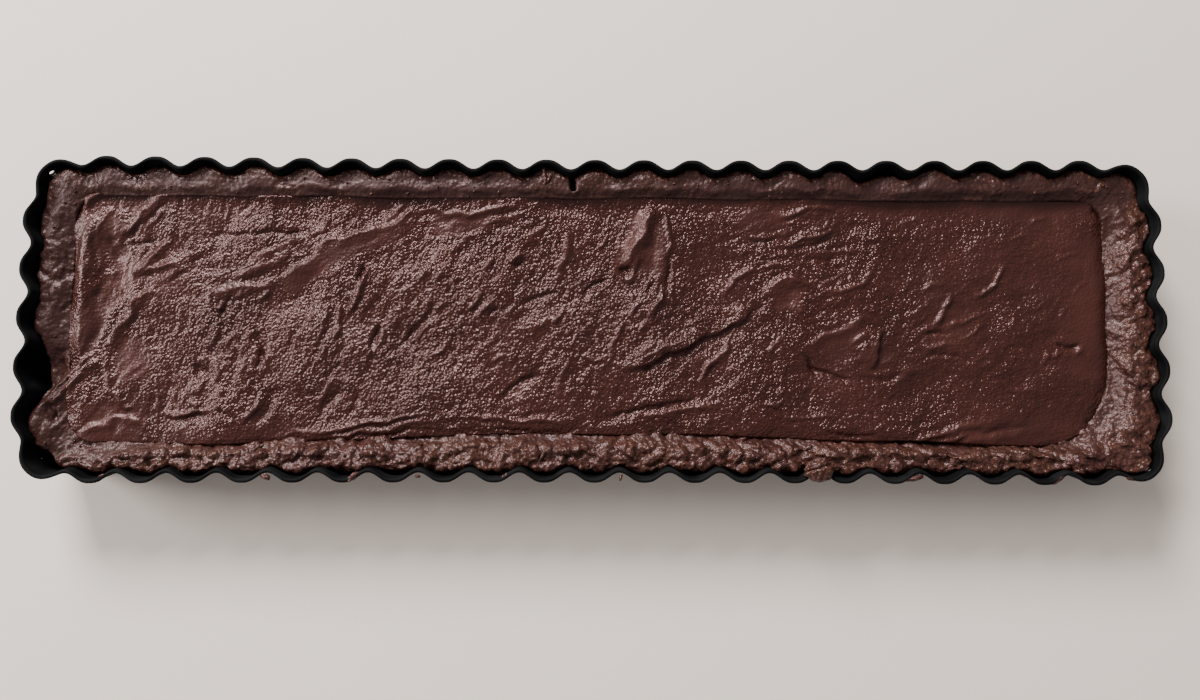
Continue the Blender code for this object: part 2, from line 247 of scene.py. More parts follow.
def next_ring(bm, ring, points):
    """Extrudes a closed ring and moves the new ring to its points."""
    edges = [bm.edges.get(pair) for pair in zip(ring, ring[1:] + ring[:1])]
    made = bmesh.ops.extrude_edge_only(bm, edges=edges)["geom"]
    fresh = {item for item in made if isinstance(item, bmesh.types.BMVert)}
    follow = []
    for vert, point in zip(ring, points):
        new = next(e.other_vert(vert) for e in vert.link_edges if e.other_vert(vert) in fresh)
        new.co = point
        follow.append(new)
    return follow


def solid_of_rings(bm, rings):
    """Makes a closed skin through rings of points, capped flat at both ends."""
    made = [first_ring(bm, rings[0])]
    bm.faces.new(made[0])
    for points in rings[1:]:
        made.append(next_ring(bm, made[-1], points))
    bm.faces.new(made[-1])
    bmesh.ops.recalc_face_normals(bm, faces=bm.faces)
    bm.normal_update()
    return made


def object_from(bm, name):
    """A new object in the scene from a bmesh, which is freed."""
    mesh = bpy.data.meshes.new(name)
    bm.to_mesh(mesh)
    bm.free()
    return add_to_scene(name, mesh)


def add_to_scene(name, data):
    made = bpy.data.objects.new(name, data)
    bpy.context.scene.collection.objects.link(made)
    return made


def finish_piece(name, bm, material, replaced=None):
    """A smooth-shaded piece of the tart from a bmesh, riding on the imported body."""
    piece = object_from(bm, name)
    piece.data.shade_smooth()
    piece.data.materials.append(material)
    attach(piece, BODY)
    if replaced:
        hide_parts(replaced)
    return piece


def lumps(flat, size, height, seed):
    """Soft random relief over the ground plan."""
    return height * noise.noise(Vector((flat.x / size, flat.y / size, seed)))


# --- Node trees ---


def add_node(tree, kind, inputs=None, **settings):
    """A node with its settings and inputs; an input may be a value or another node's output."""
    made = tree.nodes.new(kind)
    for name, value in settings.items():
        setattr(made, name, value)
    for name, value in (inputs or {}).items():
        if isinstance(value, bpy.types.NodeSocket):
            tree.links.new(value, made.inputs[name])
        else:
            made.inputs[name].default_value = value
    return made


def object_place(tree):
    return add_node(tree, "ShaderNodeTexCoord").outputs["Object"]


def mixed_colour(tree, factor, first, second):
    """A mix of two colours, each of them a value or another node's output."""
    ends = [end if isinstance(end, bpy.types.NodeSocket) else (*end, 1) for end in (first, second)]
    inputs = {"Factor": factor, 6: ends[0], 7: ends[1]}
    return add_node(tree, "ShaderNodeMix", inputs, data_type="RGBA").outputs[2]


def ranged(tree, value, low, high, to_low, to_high):
    inputs = {"Value": value, "From Min": low, "From Max": high, "To Min": to_low, "To Max": to_high}
    return add_node(tree, "ShaderNodeMapRange", inputs).outputs["Result"]


def maths(tree, operation, first, second):
    return add_node(tree, "ShaderNodeMath", {0: first, 1: second}, operation=operation).outputs[0]


def times(tree, first, second):
    return maths(tree, "MULTIPLY", first, second)


def new_group(name, inputs, outputs):
    """An empty node group with float inputs, given with their defaults, and float outputs."""
    group = bpy.data.node_groups.new(name, "ShaderNodeTree")
    group.interface.new_socket("Vector", in_out="INPUT", socket_type="NodeSocketVector")
    for label, default in inputs.items():
        socket = group.interface.new_socket(label, in_out="INPUT", socket_type="NodeSocketFloat")
        socket.default_value = default
    for label in outputs:
        group.interface.new_socket(label, in_out="OUTPUT", socket_type="NodeSocketFloat")
    return group, group.nodes.new("NodeGroupInput"), group.nodes.new("NodeGroupOutput")


def grain_group():
    """Fine crumb or bubble relief: rounded cells at one size with finer ones over them."""
    if "tart_grain" in bpy.data.node_groups:
        return bpy.data.node_groups["tart_grain"]
    defaults = {"Cell Size mm": 1.0, "Fine Share": 0.4}
    group, given, result = new_group("tart_grain", defaults, ["Height", "Cells"])
    scale = maths(group, "DIVIDE", 1 / MM, given.outputs["Cell Size mm"])
    place_in = given.outputs["Vector"]
    inputs = {"Vector": place_in, "Scale": scale, "Smoothness": 0.6}
    cells = add_node(group, "ShaderNodeTexVoronoi", inputs, feature="SMOOTH_F1")
    domes = ranged(group, cells.outputs["Distance"], 0.0, 0.7, 1.0, 0.0)
    inputs = {"Vector": place_in, "Scale": times(group, scale, 2.3), "Detail": 2}
    fine = add_node(group, "ShaderNodeTexNoise", inputs)
    fine_part = times(group, fine.outputs[0], given.outputs["Fine Share"])
    group.links.new(maths(group, "ADD", domes, fine_part), result.inputs["Height"])
    group.links.new(domes, result.inputs["Cells"])
    return group


def patch_group():
    """A slow mask, for stains, dusting and uneven colour."""
    if "tart_patches" in bpy.data.node_groups:
        return bpy.data.node_groups["tart_patches"]
    defaults = {"Patch Size mm": 20.0, "Contrast": 0.15}
    group, given, result = new_group("tart_patches", defaults, ["Mask"])
    scale = maths(group, "DIVIDE", 1 / MM, given.outputs["Patch Size mm"])
    inputs = {"Vector": given.outputs["Vector"], "Scale": scale, "Detail": 4}
    spread = add_node(group, "ShaderNodeTexNoise", inputs)
    low = maths(group, "SUBTRACT", 0.5, given.outputs["Contrast"])
    high = maths(group, "ADD", 0.5, given.outputs["Contrast"])
    mask = ranged(group, spread.outputs[0], low, high, 0.0, 1.0)
    mask.node.interpolation_type = "SMOOTHSTEP"
    group.links.new(mask, result.inputs["Mask"])
    return group


def placed_group(tree, group, vector, **values):
    node = tree.nodes.new("ShaderNodeGroup")
    node.node_tree = group
    tree.links.new(vector, node.inputs["Vector"])
    for name, value in values.items():
        node.inputs[name.replace("_", " ")].default_value = value
    return node


def new_material(name):
    material = bpy.data.materials.new(name)
    material.use_nodes = True
    tree = material.node_tree
    return material, tree, tree.nodes["Principled BSDF"]


def link_bump(tree, shader, height, strength, distance):
    inputs = {"Height": height, "Distance": distance, "Strength": strength}
    bump = add_node(tree, "ShaderNodeBump", inputs)
    tree.links.new(bump.outputs["Normal"], shader.inputs["Normal"])


# --- Properties ---


def colour(name, description, default):
    return bpy.props.FloatVectorProperty(
        name=name, description=description, subtype="COLOR", size=3, default=default, min=0, max=1,
    )


def measure(name, description, default, unit="LENGTH"):
    return bpy.props.FloatProperty(
        name=name, description=description, default=default, min=0, unit=unit,
    )


def amount(name, description, default, most):
    return bpy.props.FloatProperty(
        name=name, description=description, default=default, min=0, max=most,
    )


def number(name, description, default, least, most):
    return bpy.props.IntProperty(
        name=name, description=description, default=default, min=least, max=most,
    )


class TinSettings(bpy.types.PropertyGroup):
    coating: colour("Coating", "Colour of the non-stick coating", (0.0045, 0.0045, 0.005))
    steps: number("Steps per Flute", "Points along each flute", 20, 6, 24)
    hole: measure("Hanging Hole", "Radius of the two hanging holes", 1.0 * MM)
    hole_drop: measure("Hole Drop", "From the lip's top to the hole's centre", 3.4 * MM)


class PastrySettings(bpy.types.PropertyGroup):
    crust: colour("Crust", "Colour of the baked cocoa pastry", (0.050, 0.0185, 0.0145))
    warm: colour("Warm Patches", "Colour where the pastry is paler", (0.075, 0.031, 0.0175))
    # the smeared colour is wiped chocolate; at the back of the rim it is also painted shade
    smeared_and_back_shade: colour(
        "Smeared", "Colour where the filling has been wiped over the pastry", (0.031, 0.0115, 0.0096),
    )
    steps: number("Steps per Flute", "Points along each flute", 26, 6, 30)
    clods: measure("Clods", "Height of the dough's clods", 1.35 * MM)
    crumbs: number("Crumbs", "Loose crumbs on the rim", 300, 0, 2000)


class FillingSettings(bpy.types.PropertyGroup):
    chocolate: colour("Chocolate", "Colour of the set filling", (0.036, 0.0102, 0.0074))
    folds: amount("Folds", "Height of the spatula's folds, as a factor", 1, 2)
    streaks: amount("Streaks", "Height of the spatula's fine streaks, as a factor", 0.8, 4)
    bubbles: measure("Bubbles", "Height of the bubbly grain", 0.27 * MM)


class StageSettings(bpy.types.PropertyGroup):
    floor: colour("Floor", "Colour of the floor", (0.92, 0.815, 0.742))
    window: measure("Window", "Power of the light at the back", 37, "POWER")
    side_window: measure("Side Window", "Power of the light at the left", 18, "POWER")
    room: amount("Room", "Strength of the light from all round", 0.37, 10)
    eye_height: measure("Eye Height", "From the floor to the camera", 330.1 * MM)


CREAM_TINT = (1, 0.72, 0.73)  # cocoa fat reflects a little pink
CRUST_TINT = (1, 0.79, 0.81)


# --- The tin ---

LIP_STEPS = 12
CURVE_STEPS = 4
LIP_UNDERCUT = 0.25 * MM
HOLE_SIDES = 24
FOOT_RADIUS = 1.2 * MM
FILLET_RADIUS = 1.6 * MM
WALL_HEIGHTS = (0.2, 0.45, 0.7, 0.88)
HAIR = 0.01 * MM  # keeps this finer outline within the solid tin's coarser one


def arc(centre_inset, centre_z, radius_inset, radius_z, start_deg, end_deg, steps):
    """Points of an elliptical arc across the tin's wall, as insets and heights."""
    for step in range(steps + 1):
        angle = math.radians(start_deg + (end_deg - start_deg) * step / steps)
        yield centre_inset + radius_inset * math.cos(angle), centre_z + radius_z * math.sin(angle)


def tin_section():
    """The wall's cross section, from the foot up outside, over the rolled lip, down inside."""
    under_lip = TIN_HEIGHT - LIP_HEIGHT
    outside = LIP_WIDTH - WALL
    foot = outside + wall_inset(0)
    section = list(arc(foot + FOOT_RADIUS, FOOT_RADIUS, FOOT_RADIUS, FOOT_RADIUS,
                       270, 180, CURVE_STEPS))
    section += [(outside + wall_inset(share * under_lip), share * under_lip) for share in WALL_HEIGHTS]
    section += [(outside, under_lip - LIP_UNDERCUT)]
    half_lip = LIP_WIDTH / 2
    bead = LIP_HEIGHT / 2
    section += list(arc(half_lip, under_lip + bead, half_lip, bead, 240, 0, LIP_STEPS))
    section += [(LIP_WIDTH + wall_inset(share * under_lip), share * under_lip)
                for share in reversed(WALL_HEIGHTS)]
    inside = LIP_WIDTH + wall_inset(FLOOR + FILLET_RADIUS)
    section += list(arc(inside + FILLET_RADIUS, FLOOR + FILLET_RADIUS, FILLET_RADIUS, FILLET_RADIUS,
                        180, 270, CURVE_STEPS))
    return section


def hang_hole_cutter(corner, radius, drop):
    outward = Vector((*corner, 0)).normalized()
    centre = Vector((LOBE_MIDDLE.x * corner[0], LOBE_MIDDLE.y * corner[1], TIN_HEIGHT - drop))
    turn = outward.to_track_quat("Z", "Y").to_matrix().to_4x4()
    bm = bmesh.new()
    bmesh.ops.create_cone(bm, cap_ends=True, segments=HOLE_SIDES, radius1=radius, radius2=radius,
                          depth=8 * WALL, matrix=Matrix.Translation(centre) @ turn)
    return object_from(bm, "hang_hole")


def cut_away(piece, cutters):
    """Cuts the cutters out of the piece for good, and removes them."""
    for cutter in cutters:
        modifier = piece.modifiers.new(cutter.name, "BOOLEAN")
        modifier.operation = "DIFFERENCE"
        modifier.solver = "EXACT"
        modifier.object = cutter
    depsgraph = bpy.context.evaluated_depsgraph_get()
    mesh = bpy.data.meshes.new_from_object(piece.evaluated_get(depsgraph))
    piece.modifiers.clear()
    piece.data = mesh
    for cutter in cutters:
        bpy.data.objects.remove(cutter)


def tin_material(settings):
    """Black non-stick coating: an even, fine orange peel with greasy smears."""
    material, tree, shader = new_material("black_coating")
    spot = object_place(tree)
    smears = placed_group(tree, patch_group(), spot, Patch_Size_mm=9, Contrast=0.12)
    peel = placed_group(tree, grain_group(), spot, Cell_Size_mm=0.5, Fine_Share=0.5)
    dusty = tuple(channel * 1.7 + 0.002 for channel in settings.coating)
    colour = mixed_colour(tree, smears.outputs["Mask"], settings.coating, dusty)
    tree.links.new(colour, shader.inputs["Base Color"])
    sheen = ranged(tree, smears.outputs["Mask"], 0, 1, 0.62, 0.76)
    tree.links.new(sheen, shader.inputs["Roughness"])
    shader.inputs["Specular IOR Level"].default_value = 0.06
    link_bump(tree, shader, peel.outputs["Height"], 0.12, 0.1 * MM)
    return material


class TART_OT_tin(bpy.types.Operator):
    """Makes the fluted tin, with its rolled lip and its two hanging holes"""

    bl_idname = "tart.tin"
    bl_label = "Fluted Tin"

    def execute(self, context):
        settings = context.scene.tart_tin
        stations = outline(settings.steps)
        rings = [
            [place(s, inset + HAIR, wall_flutes(z), z) for s in stations]
            for inset, z in tin_section()
        ]
        bm = bmesh.new()
        solid_of_rings(bm, rings)
        tin = finish_piece("fluted_tin", bm, tin_material(settings), "tin")
        corners = ((-1, 1), (1, -1))
        cut_away(tin, [hang_hole_cutter(c, settings.hole, settings.hole_drop) for c in corners])
        tin.data.shade_smooth()
        return {"FINISHED"}


# --- The pastry case ---

# A slump's place, and how far the rim has set back and dropped there, in millimetres
Slump = namedtuple("Slump", "x y radius set_back drop")
SLUMPS = [
    Slump(-174, -17, 15, 4.0, 5),
    Slump(-172, -47, 11, 3.4, 1.5),
    Slump(89, 49, 14, 1.5, 1.6),
    Slump(67, -46, 9, 1.8, 1.8),
]
CRACK_X = -7 * MM
CRACK_HALF = 0.85 * MM
CRACK_DEPTH = 6 * MM
CRACK_BACK_FROM = 40.4 * MM
CRACK_WANDER = 0.35 * MM


def slump_at(station):
    """How far the pastry has set back from the wall and dropped at a station."""
    set_back = drop = 0
    for slump in SLUMPS:
        distance = (station.base - Vector((slump.x, slump.y)) * MM).length
        share = smooth_bump(distance, slump.radius * MM)
        set_back += slump.set_back * MM * share
        drop += slump.drop * MM * share
    return set_back, drop


def reach(station):
    """The pastry rim's width from the tin's outline, on the short and the long side nearest."""
    swell = FRONT_SWELL * smooth_bump(station.base.x, FRONT_SWELL_HALF)
    short = REACH_RIGHT if station.base.x > 0 else REACH_LEFT
    long = REACH_BACK if station.base.y > 0 else REACH_FRONT + swell
    return Vector((short, long))


def corner_radius(station):
    """The radius of the inner edge's corner that is nearest."""
    front = FRONT_RIGHT_CORNER if station.base.x > 0 else FRONT_LEFT_CORNER
    return BACK_CORNER if station.base.y > 0 else front


def inner_place(station, inset, z):
    """A station's point on the rim's inner edge, a rounded rectangle, or at an inset from it."""
    side_end = Vector((LONG_FLUTES, SHORT_FLUTES)) * PITCH / 2
    radius = corner_radius(station)
    room = Vector((TIN_LENGTH, TIN_WIDTH)) / 2 - reach(station) - Vector((radius, radius))
    along = min(max(station.base.x / side_end.x, -1), 1)
    across = min(max(station.base.y / side_end.y, -1), 1)
    wave = lumps(station.base, EDGE_WAVE_SIZE, EDGE_WAVE, 3.7)
    flat = Vector((along * room.x, across * room.y)) - station.inward * (radius - inset - wave)
    return Vector((flat.x, flat.y, z))


def filling_level(x):
    """The filling's level before the spatula's folds: a little higher at the left end."""
    return LEVEL - SHEER * x / TIN_LENGTH


# Across the rim, from the outer shoulder (0) to the inner edge (1)
CROWN_SHARES = [0, 0.05, *(step / 50 for step in range(5, 50, 3)), 1]
SHOULDER = 1.9 * MM
SHOULDER_STEPS = 5
OUTER_SHARES = (0.15, 0.35, 0.55, 0.65, 0.75, 0.85, 0.925)  # of the way up to the shoulder
LEAN_OVER = 0.6  # the share of that height over which the case leans towards the wall
SLOPE_START_BACK = 0.56
SLOPE_START_LEFT = 0.26
SLOPE_START_OTHER = 0.42
EDGE_SINK = 1.2 * MM
LEFT_EDGE_SINK = 0.5 * MM
BACK_EDGE_SINK = -1.5 * MM
BACK_DROP = 0.3 * MM
LEFT_DROP = 1.1 * MM
HIDDEN_EDGE_DEPTHS = (2.0 * MM, 4.5 * MM)
INNER_DRAFT = 1.2 * MM
INNER_DEPTH = 14 * MM
BACK_RISE = (30 * MM, 12 * MM)  # where the back's share of a station starts, and over how far
LEFT_RISE = (142 * MM, 18 * MM)
RIM_FLUTES_RISE = (8 * MM, 12 * MM)


def side_shares(station):
    """How much a station belongs to the back and to the left side."""
    back = rise(station.base.y, *BACK_RISE)
    return back, rise(-station.base.x, *LEFT_RISE) * (1 - back)


def by_side(station, other, at_back, at_left):
    """A value that differs at the back and on the left."""
    back, left = side_shares(station)
    return other + (at_back - other) * back + (at_left - other) * left


def at_wall(station):
    """How much a station belongs to the right and the back, whose rim reaches the wall."""
    return min(max(-station.inward.x, 0) + max(-station.inward.y, 0), 1)


def case_points(station):
    """The case's cross section at a station: under, up outside, over the rim, down inside."""
    set_back, drop = slump_at(station)
    bottom = FLOOR + CLEARANCE
    crown = CROWN_HEIGHT - drop - by_side(station, 0, BACK_DROP, LEFT_DROP)
    crown += lumps(station.base, 9 * MM, 0.8 * MM, 0.4)
    shoulder = crown - SHOULDER
    low, high = RIM_SPREAD
    spread = low + (high - low) * at_wall(station) - set_back
    side = CASE_INSET - spread
    points = [case_place(station, CASE_INSET + wall_inset(bottom), bottom)]
    for share in OUTER_SHARES:
        z = bottom + (shoulder - bottom) * share
        lean = spread * ease(share / LEAN_OVER)
        points.append(case_place(station, CASE_INSET - lean + wall_inset(z), z))
    for step in range(SHOULDER_STEPS):
        share = step / SHOULDER_STEPS
        angle = math.radians(90 * share)
        inset = side + SHOULDER * (1 - math.cos(angle)) + wall_inset(crown) * (1 - share)
        points.append(case_place(station, inset, shoulder + SHOULDER * math.sin(angle)))
    points += crown_points(station, side + SHOULDER, crown)
    edge_z = points[-1].z
    for depth in HIDDEN_EDGE_DEPTHS:
        points.append(inner_place(station, INNER_DRAFT * depth / INNER_DEPTH, edge_z - depth))
    points.append(inner_place(station, INNER_DRAFT, bottom + CASE_FLOOR))
    return points


def case_place(station, inset, z):
    """A station's point on the case, whose flutes are shallower towards the rim."""
    low, high = RIM_FLUTES
    at_rim = low + (high - low) * at_wall(station)
    flutes = CASE_FLUTES + (at_rim - CASE_FLUTES) * rise(z, *RIM_FLUTES_RISE)
    return place(station, inset, flutes * wall_flutes(z), z)


def crown_points(station, inset, crown):
    """Over the rim's top and down its slope to the filling."""
    start = by_side(station, SLOPE_START_OTHER, SLOPE_START_BACK, SLOPE_START_LEFT)
    sink = by_side(station, EDGE_SINK, BACK_EDGE_SINK, LEFT_EDGE_SINK)
    low = filling_level(station.base.x) - sink
    outer = case_place(station, inset, crown)
    inner = inner_place(station, 0, crown)
    for share in CROWN_SHARES:
        point = outer.lerp(inner, share)
        roll = lumps(point.xy, 7 * MM, 0.7 * MM, 6.1) * math.sin(math.pi * min(share + 0.2, 1))
        slope = rise(share, start, 1.02 - start)
        point.z = crown + roll * (1 - slope) + (low - crown) * slope
        yield point


def ring_shares():
    """How far across the rim each ring of the case lies: 0 outside, 1 at the filling."""
    outside = 1 + len(OUTER_SHARES) + SHOULDER_STEPS
    return [0] * outside + CROWN_SHARES + [1] * (len(HIDDEN_EDGE_DEPTHS) + 1)


def smear_and_back_shade_at(station, share):
    """How much chocolate the spatula has wiped over the rim at a place across it; at the back the
    smear is stronger, and its darker colour there is also painted shade under the tin's back lip.
    """
    back, left = side_shares(station)
    # starts earlier and is stronger at the back, where the smeared colour also paints the shade under
    # the tin's back lip
    start = 0.55 - 0.75 * left - 0.6 * back
    strength = 0.5 + 0.6 * back + 0.35 * left
    patch = 0.75 + 0.25 * left + lumps(station.base, 13 * MM, 1.1 - 0.7 * left, 9.2)
    return min(max(strength * patch, 0), 1) * rise(share, start, 0.25)


CLOD_SIZE = 5.4 * MM
CLOD_CREASE = 0.4  # the share of a clod over which it falls to its neighbour
CRUMB_SIZE = 1.7 * MM
GRIT_SIZE = 0.95 * MM
ROUGH_SIZE = 3 * MM
SWELL_SIZE = 9 * MM
BENDS = (1.1 * MM, 5 * MM)  # how far the clods' outlines are bent, and over what length
CRUMBLE_RISE = (9 * MM, 5 * MM)
# The clods are lower at the back and on the right
CALMER_BACK = (34 * MM, 6 * MM)
CALMER_RIGHT = (150 * MM, 12 * MM)


def crumble(bm, smears, clods):
    """Roughens the rim: rounded clods with creases between them, and finer crumbs on those."""
    pushed = []
    for vert in bm.verts:
        if vert.co.z < CRUMBLE_RISE[0]:
            continue
        bent = vert.co + BENDS[0] * noise.noise_vector(vert.co / BENDS[1])
        near, far = noise.voronoi(bent / CLOD_SIZE)[0][:2]
        clod = min(far - near, CLOD_CREASE) / CLOD_CREASE - 0.5
        crumb = 0.5 - noise.voronoi(bent / CRUMB_SIZE)[0][0]
        fine = 0.5 - noise.voronoi(vert.co / GRIT_SIZE)[0][0]
        rough = noise.fractal(vert.co / ROUGH_SIZE, 0.8, 2.0, 3)
        swell = noise.noise(vert.co / SWELL_SIZE)
        height = clods * (clod + 0.45 * crumb + 0.2 * fine + 0.6 * rough + 0.8 * swell)
        shown = rise(vert.co.z, *CRUMBLE_RISE)
        grit = 0.1 * clods * shown * (crumb + fine)
        fade = shown * (1 - 0.8 * vert[smears])
        fade *= 0.45 + 0.55 * abs(vert.normal.z)
        fade *= 1 - 0.66 * rise(vert.co.y, *CALMER_BACK)
        fade *= 1 - 0.3 * rise(vert.co.x, *CALMER_RIGHT)
        pushed.append((vert, vert.normal * (height * fade + grit)))
    for vert, push in pushed:
        vert.co += push


def spill_over(bm):
    """Carries the filling's peak on over the left end of the pastry."""
    top = [vert for vert in bm.verts if vert.co.z > 12 * MM and vert.co.x < -150 * MM]
    places = wandering(np.array([vert.co[:2] for vert in top]) / MM)
    heights = np.zeros(len(top))
    for fold in FOLDS_LEFT:
        if "peak" in fold.name:
            add_fold(heights, places, fold, 1)
    for vert, height in zip(top, heights):
        vert.co.z += height * MM


def open_crack(bm):
    """Splits the back rim across its whole width."""
    for vert in bm.verts:
        wander = CRACK_WANDER * noise.noise(Vector((0, vert.co.y / (2 * MM), 8.8)))
        share = max(0, 1 - abs(vert.co.x - CRACK_X - wander) / CRACK_HALF)
        if share and vert.co.y > CRACK_BACK_FROM and vert.co.z > CROWN_HEIGHT - CRACK_DEPTH:
            fade = rise(vert.co.y, CRACK_BACK_FROM, 1.5 * MM)
            vert.co.z -= CRACK_DEPTH * min(1.6 * share, 1) * fade


def pastry_material(settings):
    """Baked cocoa shortcrust: dry and matt, with painted shade in the crevices between its crumbs,
    paler in patches.
    """
    material, tree, shader = new_material("cocoa_shortcrust")
    spot = object_place(tree)
    crumb = placed_group(tree, grain_group(), spot, Cell_Size_mm=1.25, Fine_Share=0.6)
    warm = placed_group(tree, patch_group(), spot, Patch_Size_mm=26, Contrast=0.07)
    dust = placed_group(tree, patch_group(), spot, Patch_Size_mm=1.6, Contrast=0.10)
    dark = tuple(0.4 * channel for channel in settings.crust)
    pale = tuple(1.9 * channel for channel in settings.crust)
    base = mixed_colour(tree, times(tree, warm.outputs["Mask"], 0.55), settings.crust, settings.warm)
    # painted shade: the crevices between the crumb cells are darkened towards 0.4 of the crust's
    # colour
    crevice_shade = ranged(tree, crumb.outputs["Cells"], 0.15, 0.5, 0.75, 0.0)
    base = mixed_colour(tree, crevice_shade, base, dark)
    base = mixed_colour(tree, times(tree, dust.outputs["Mask"], 0.35), base, pale)
    smear = add_node(tree, "ShaderNodeAttribute", attribute_name="smear").outputs["Fac"]
    # wiped chocolate over the rim; at the back this darker colour is also painted shade under the
    # tin's lip
    base = mixed_colour(tree, times(tree, smear, 0.9), base, settings.smeared_and_back_shade)
    tree.links.new(base, shader.inputs["Base Color"])
    tree.links.new(ranged(tree, smear, 0, 1, 0.28, 0.43), shader.inputs["Roughness"])
    shader.inputs["Specular IOR Level"].default_value = 0.42
    shader.inputs["Specular Tint"].default_value = (*CRUST_TINT, 1)
    strength = ranged(tree, smear, 0, 1, 0.8, 0.35)
    link_bump(tree, shader, crumb.outputs["Height"], strength, 0.42 * MM)
    return material


def shared_material(name, maker, settings):
    return bpy.data.materials.get(name) or maker(settings)


class TART_OT_pastry(bpy.types.Operator):
    """Makes the pastry case, with its rough rim, its slumps and its crack"""

    bl_idname = "tart.pastry"
    bl_label = "Pastry Case"

    def execute(self, context):
        noise.seed_set(NOISE_SEED)
        settings = context.scene.tart_pastry
        stations = outline(settings.steps)
        bm = bmesh.new()
        smears = bm.verts.layers.float.new("smear")
        made = solid_of_rings(bm, [list(ring) for ring in zip(*map(case_points, stations))])
        for ring, share in zip(made, ring_shares()):
            for vert, station in zip(ring, stations):
                vert[smears] = smear_and_back_shade_at(station, share)
        crumble(bm, smears, settings.clods)
        spill_over(bm)
        open_crack(bm)
        material = shared_material("cocoa_shortcrust", pastry_material, settings)
        finish_piece("pastry_crust", bm, material, "pastry_case")
        return {"FINISHED"}


LUMP_SIZE = Vector((4.5, 3.5, 2.4)) * MM
LUMP_BASE = TIN_HEIGHT + CLEARANCE
LUMP_SINK = 0.13  # of its half-height, below the lip's top
CRUMB_SIZES = (0.3, 1.15)
# Slips of pastry, by place, length, width and turn in degrees
Flake = namedtuple("Flake", "x y length width turn")
RIM_FLAKES = [
    Flake(-16, 46, 6.2, 1.0, 96),
    Flake(-14.5, 44.5, 3.0, 0.9, 62),
    Flake(-15.5, -41.5, 5.0, 1.1, 62),
    Flake(46, -37, 3.4, 1.2, 20),
    Flake(50.5, -39, 2.8, 1.0, -65),
    Flake(44, -42.5, 4.6, 1.0, 48),
    Flake(66, -39.5, 3.0, 1.3, 30),
    Flake(61, -38.4, 2.0, 0.9, -40),
    Flake(-104, -40, 4.2, 1.4, 35),
    Flake(-97, -44, 3.2, 1.3, -50),
    Flake(-39, -44.5, 2.8, 1.0, 20),
    Flake(132, -41, 2.6, 1.3, 15),
]
SPILT_FLAKES = [
    Flake(-148.5, -48.4, 2.6, 1.0, 10),
    Flake(-99.5, -48.6, 3.2, 1.7, -20),
    Flake(-73, -48.6, 4.6, 1.8, 35),
    Flake(-53.5, -48.4, 1.6, 0.9, 0),
    Flake(-27.5, -48.6, 3.0, 1.1, 50),
    Flake(8, -48.5, 2.2, 0.9, 80),
    Flake(97.5, -48.6, 5.4, 1.6, 12),
    Flake(141.5, -48.8, 5.2, 1.2, 38),
    Flake(163.5, -48.6, 3.0, 1.2, -15),
]
SPILT_HEIGHT = 24.5 * MM


def rough_ball(bm, subdivisions, matrix, rough, seed):
    """One uneven ball of dough, roughened before it is scaled and placed."""
    made = bmesh.ops.create_icosphere(bm, subdivisions=subdivisions, radius=1)["verts"]
    for vert in made:
        spot = vert.co * 1.6 + Vector((seed, 0, 0))
        vert.co *= 1 + rough * noise.fractal(spot, 0.9, 2.0, 3)
    bmesh.ops.transform(bm, matrix=matrix, verts=made)
    return made


def lump_bm():
    """The lump of dough that stands over the lip, creased across, with crumbs on it."""
    bm = bmesh.new()
    centre = Vector((*LUMP_CENTRE, LUMP_BASE - LUMP_SINK * LUMP_SIZE.z))
    size = Matrix.Diagonal((*LUMP_SIZE, 1))
    made = rough_ball(bm, 5, Matrix.Translation(centre) @ size, 0.14, 4.4)
    bm.normal_update()
    for vert in made:
        flat = vert.co - centre
        groove = smooth_bump(flat.y - 0.35 * flat.x - 0.9 * MM, 0.7 * MM)
        crumb = 0.5 - noise.voronoi(vert.co / (1.3 * MM))[0][0]
        vert.co += vert.normal * (0.5 * MM * crumb - 0.55 * MM * groove)
        vert.co.z = max(vert.co.z, CROWN_HEIGHT - 0.6 * MM)
    return bm


def on_the_rim(tree, x, y):
    """The rim's height under a place."""
    hit = tree.ray_cast(Vector((x, y, 2 * TIN_HEIGHT)), Vector((0, 0, -1)))[0]
    return hit.z if hit else CROWN_HEIGHT


def flake_matrix(flake, z):
    spin = Matrix.Rotation(math.radians(flake.turn), 4, "Z")
    size = Matrix.Diagonal((flake.length / 2, flake.width / 2, 0.38 * flake.width, 1)) * MM
    size[3][3] = 1
    return Matrix.Translation((flake.x * MM, flake.y * MM, z)) @ spin @ size


def crumbs_bm(crust, count):
    """Loose crumbs over the rim, with a few slips of pastry on it and outside the lip."""
    tree = BVHTree.FromObject(crust, bpy.context.evaluated_depsgraph_get())
    chance = random.Random(11)
    stations = outline(8)
    bm = bmesh.new()
    for index in range(count):
        station = chance.choice(stations)
        inset = CASE_INSET + 1.5 * MM + chance.random() * 8 * MM
        spot = place(station, inset, CASE_FLUTES, 0)
        radius = 0.5 * MM * chance.triangular(*CRUMB_SIZES, CRUMB_SIZES[0])
        spot.z = on_the_rim(tree, spot.x, spot.y) + 0.35 * radius
        turn = Euler([chance.uniform(0, math.tau) for _ in range(3)]).to_matrix().to_4x4()
        size = Matrix.Diagonal((*[radius * chance.uniform(0.75, 1.3) for _ in range(3)], 1))
        rough_ball(bm, 1, Matrix.Translation(spot) @ turn @ size, 0.5, index)
    for index, flake in enumerate(RIM_FLAKES):
        z = on_the_rim(tree, flake.x * MM, flake.y * MM) + 0.3 * MM
        rough_ball(bm, 3, flake_matrix(flake, z), 0.35, index)
    for index, flake in enumerate(SPILT_FLAKES):
        rough_ball(bm, 3, flake_matrix(flake, SPILT_HEIGHT), 0.4, 40 + index)
    return bm


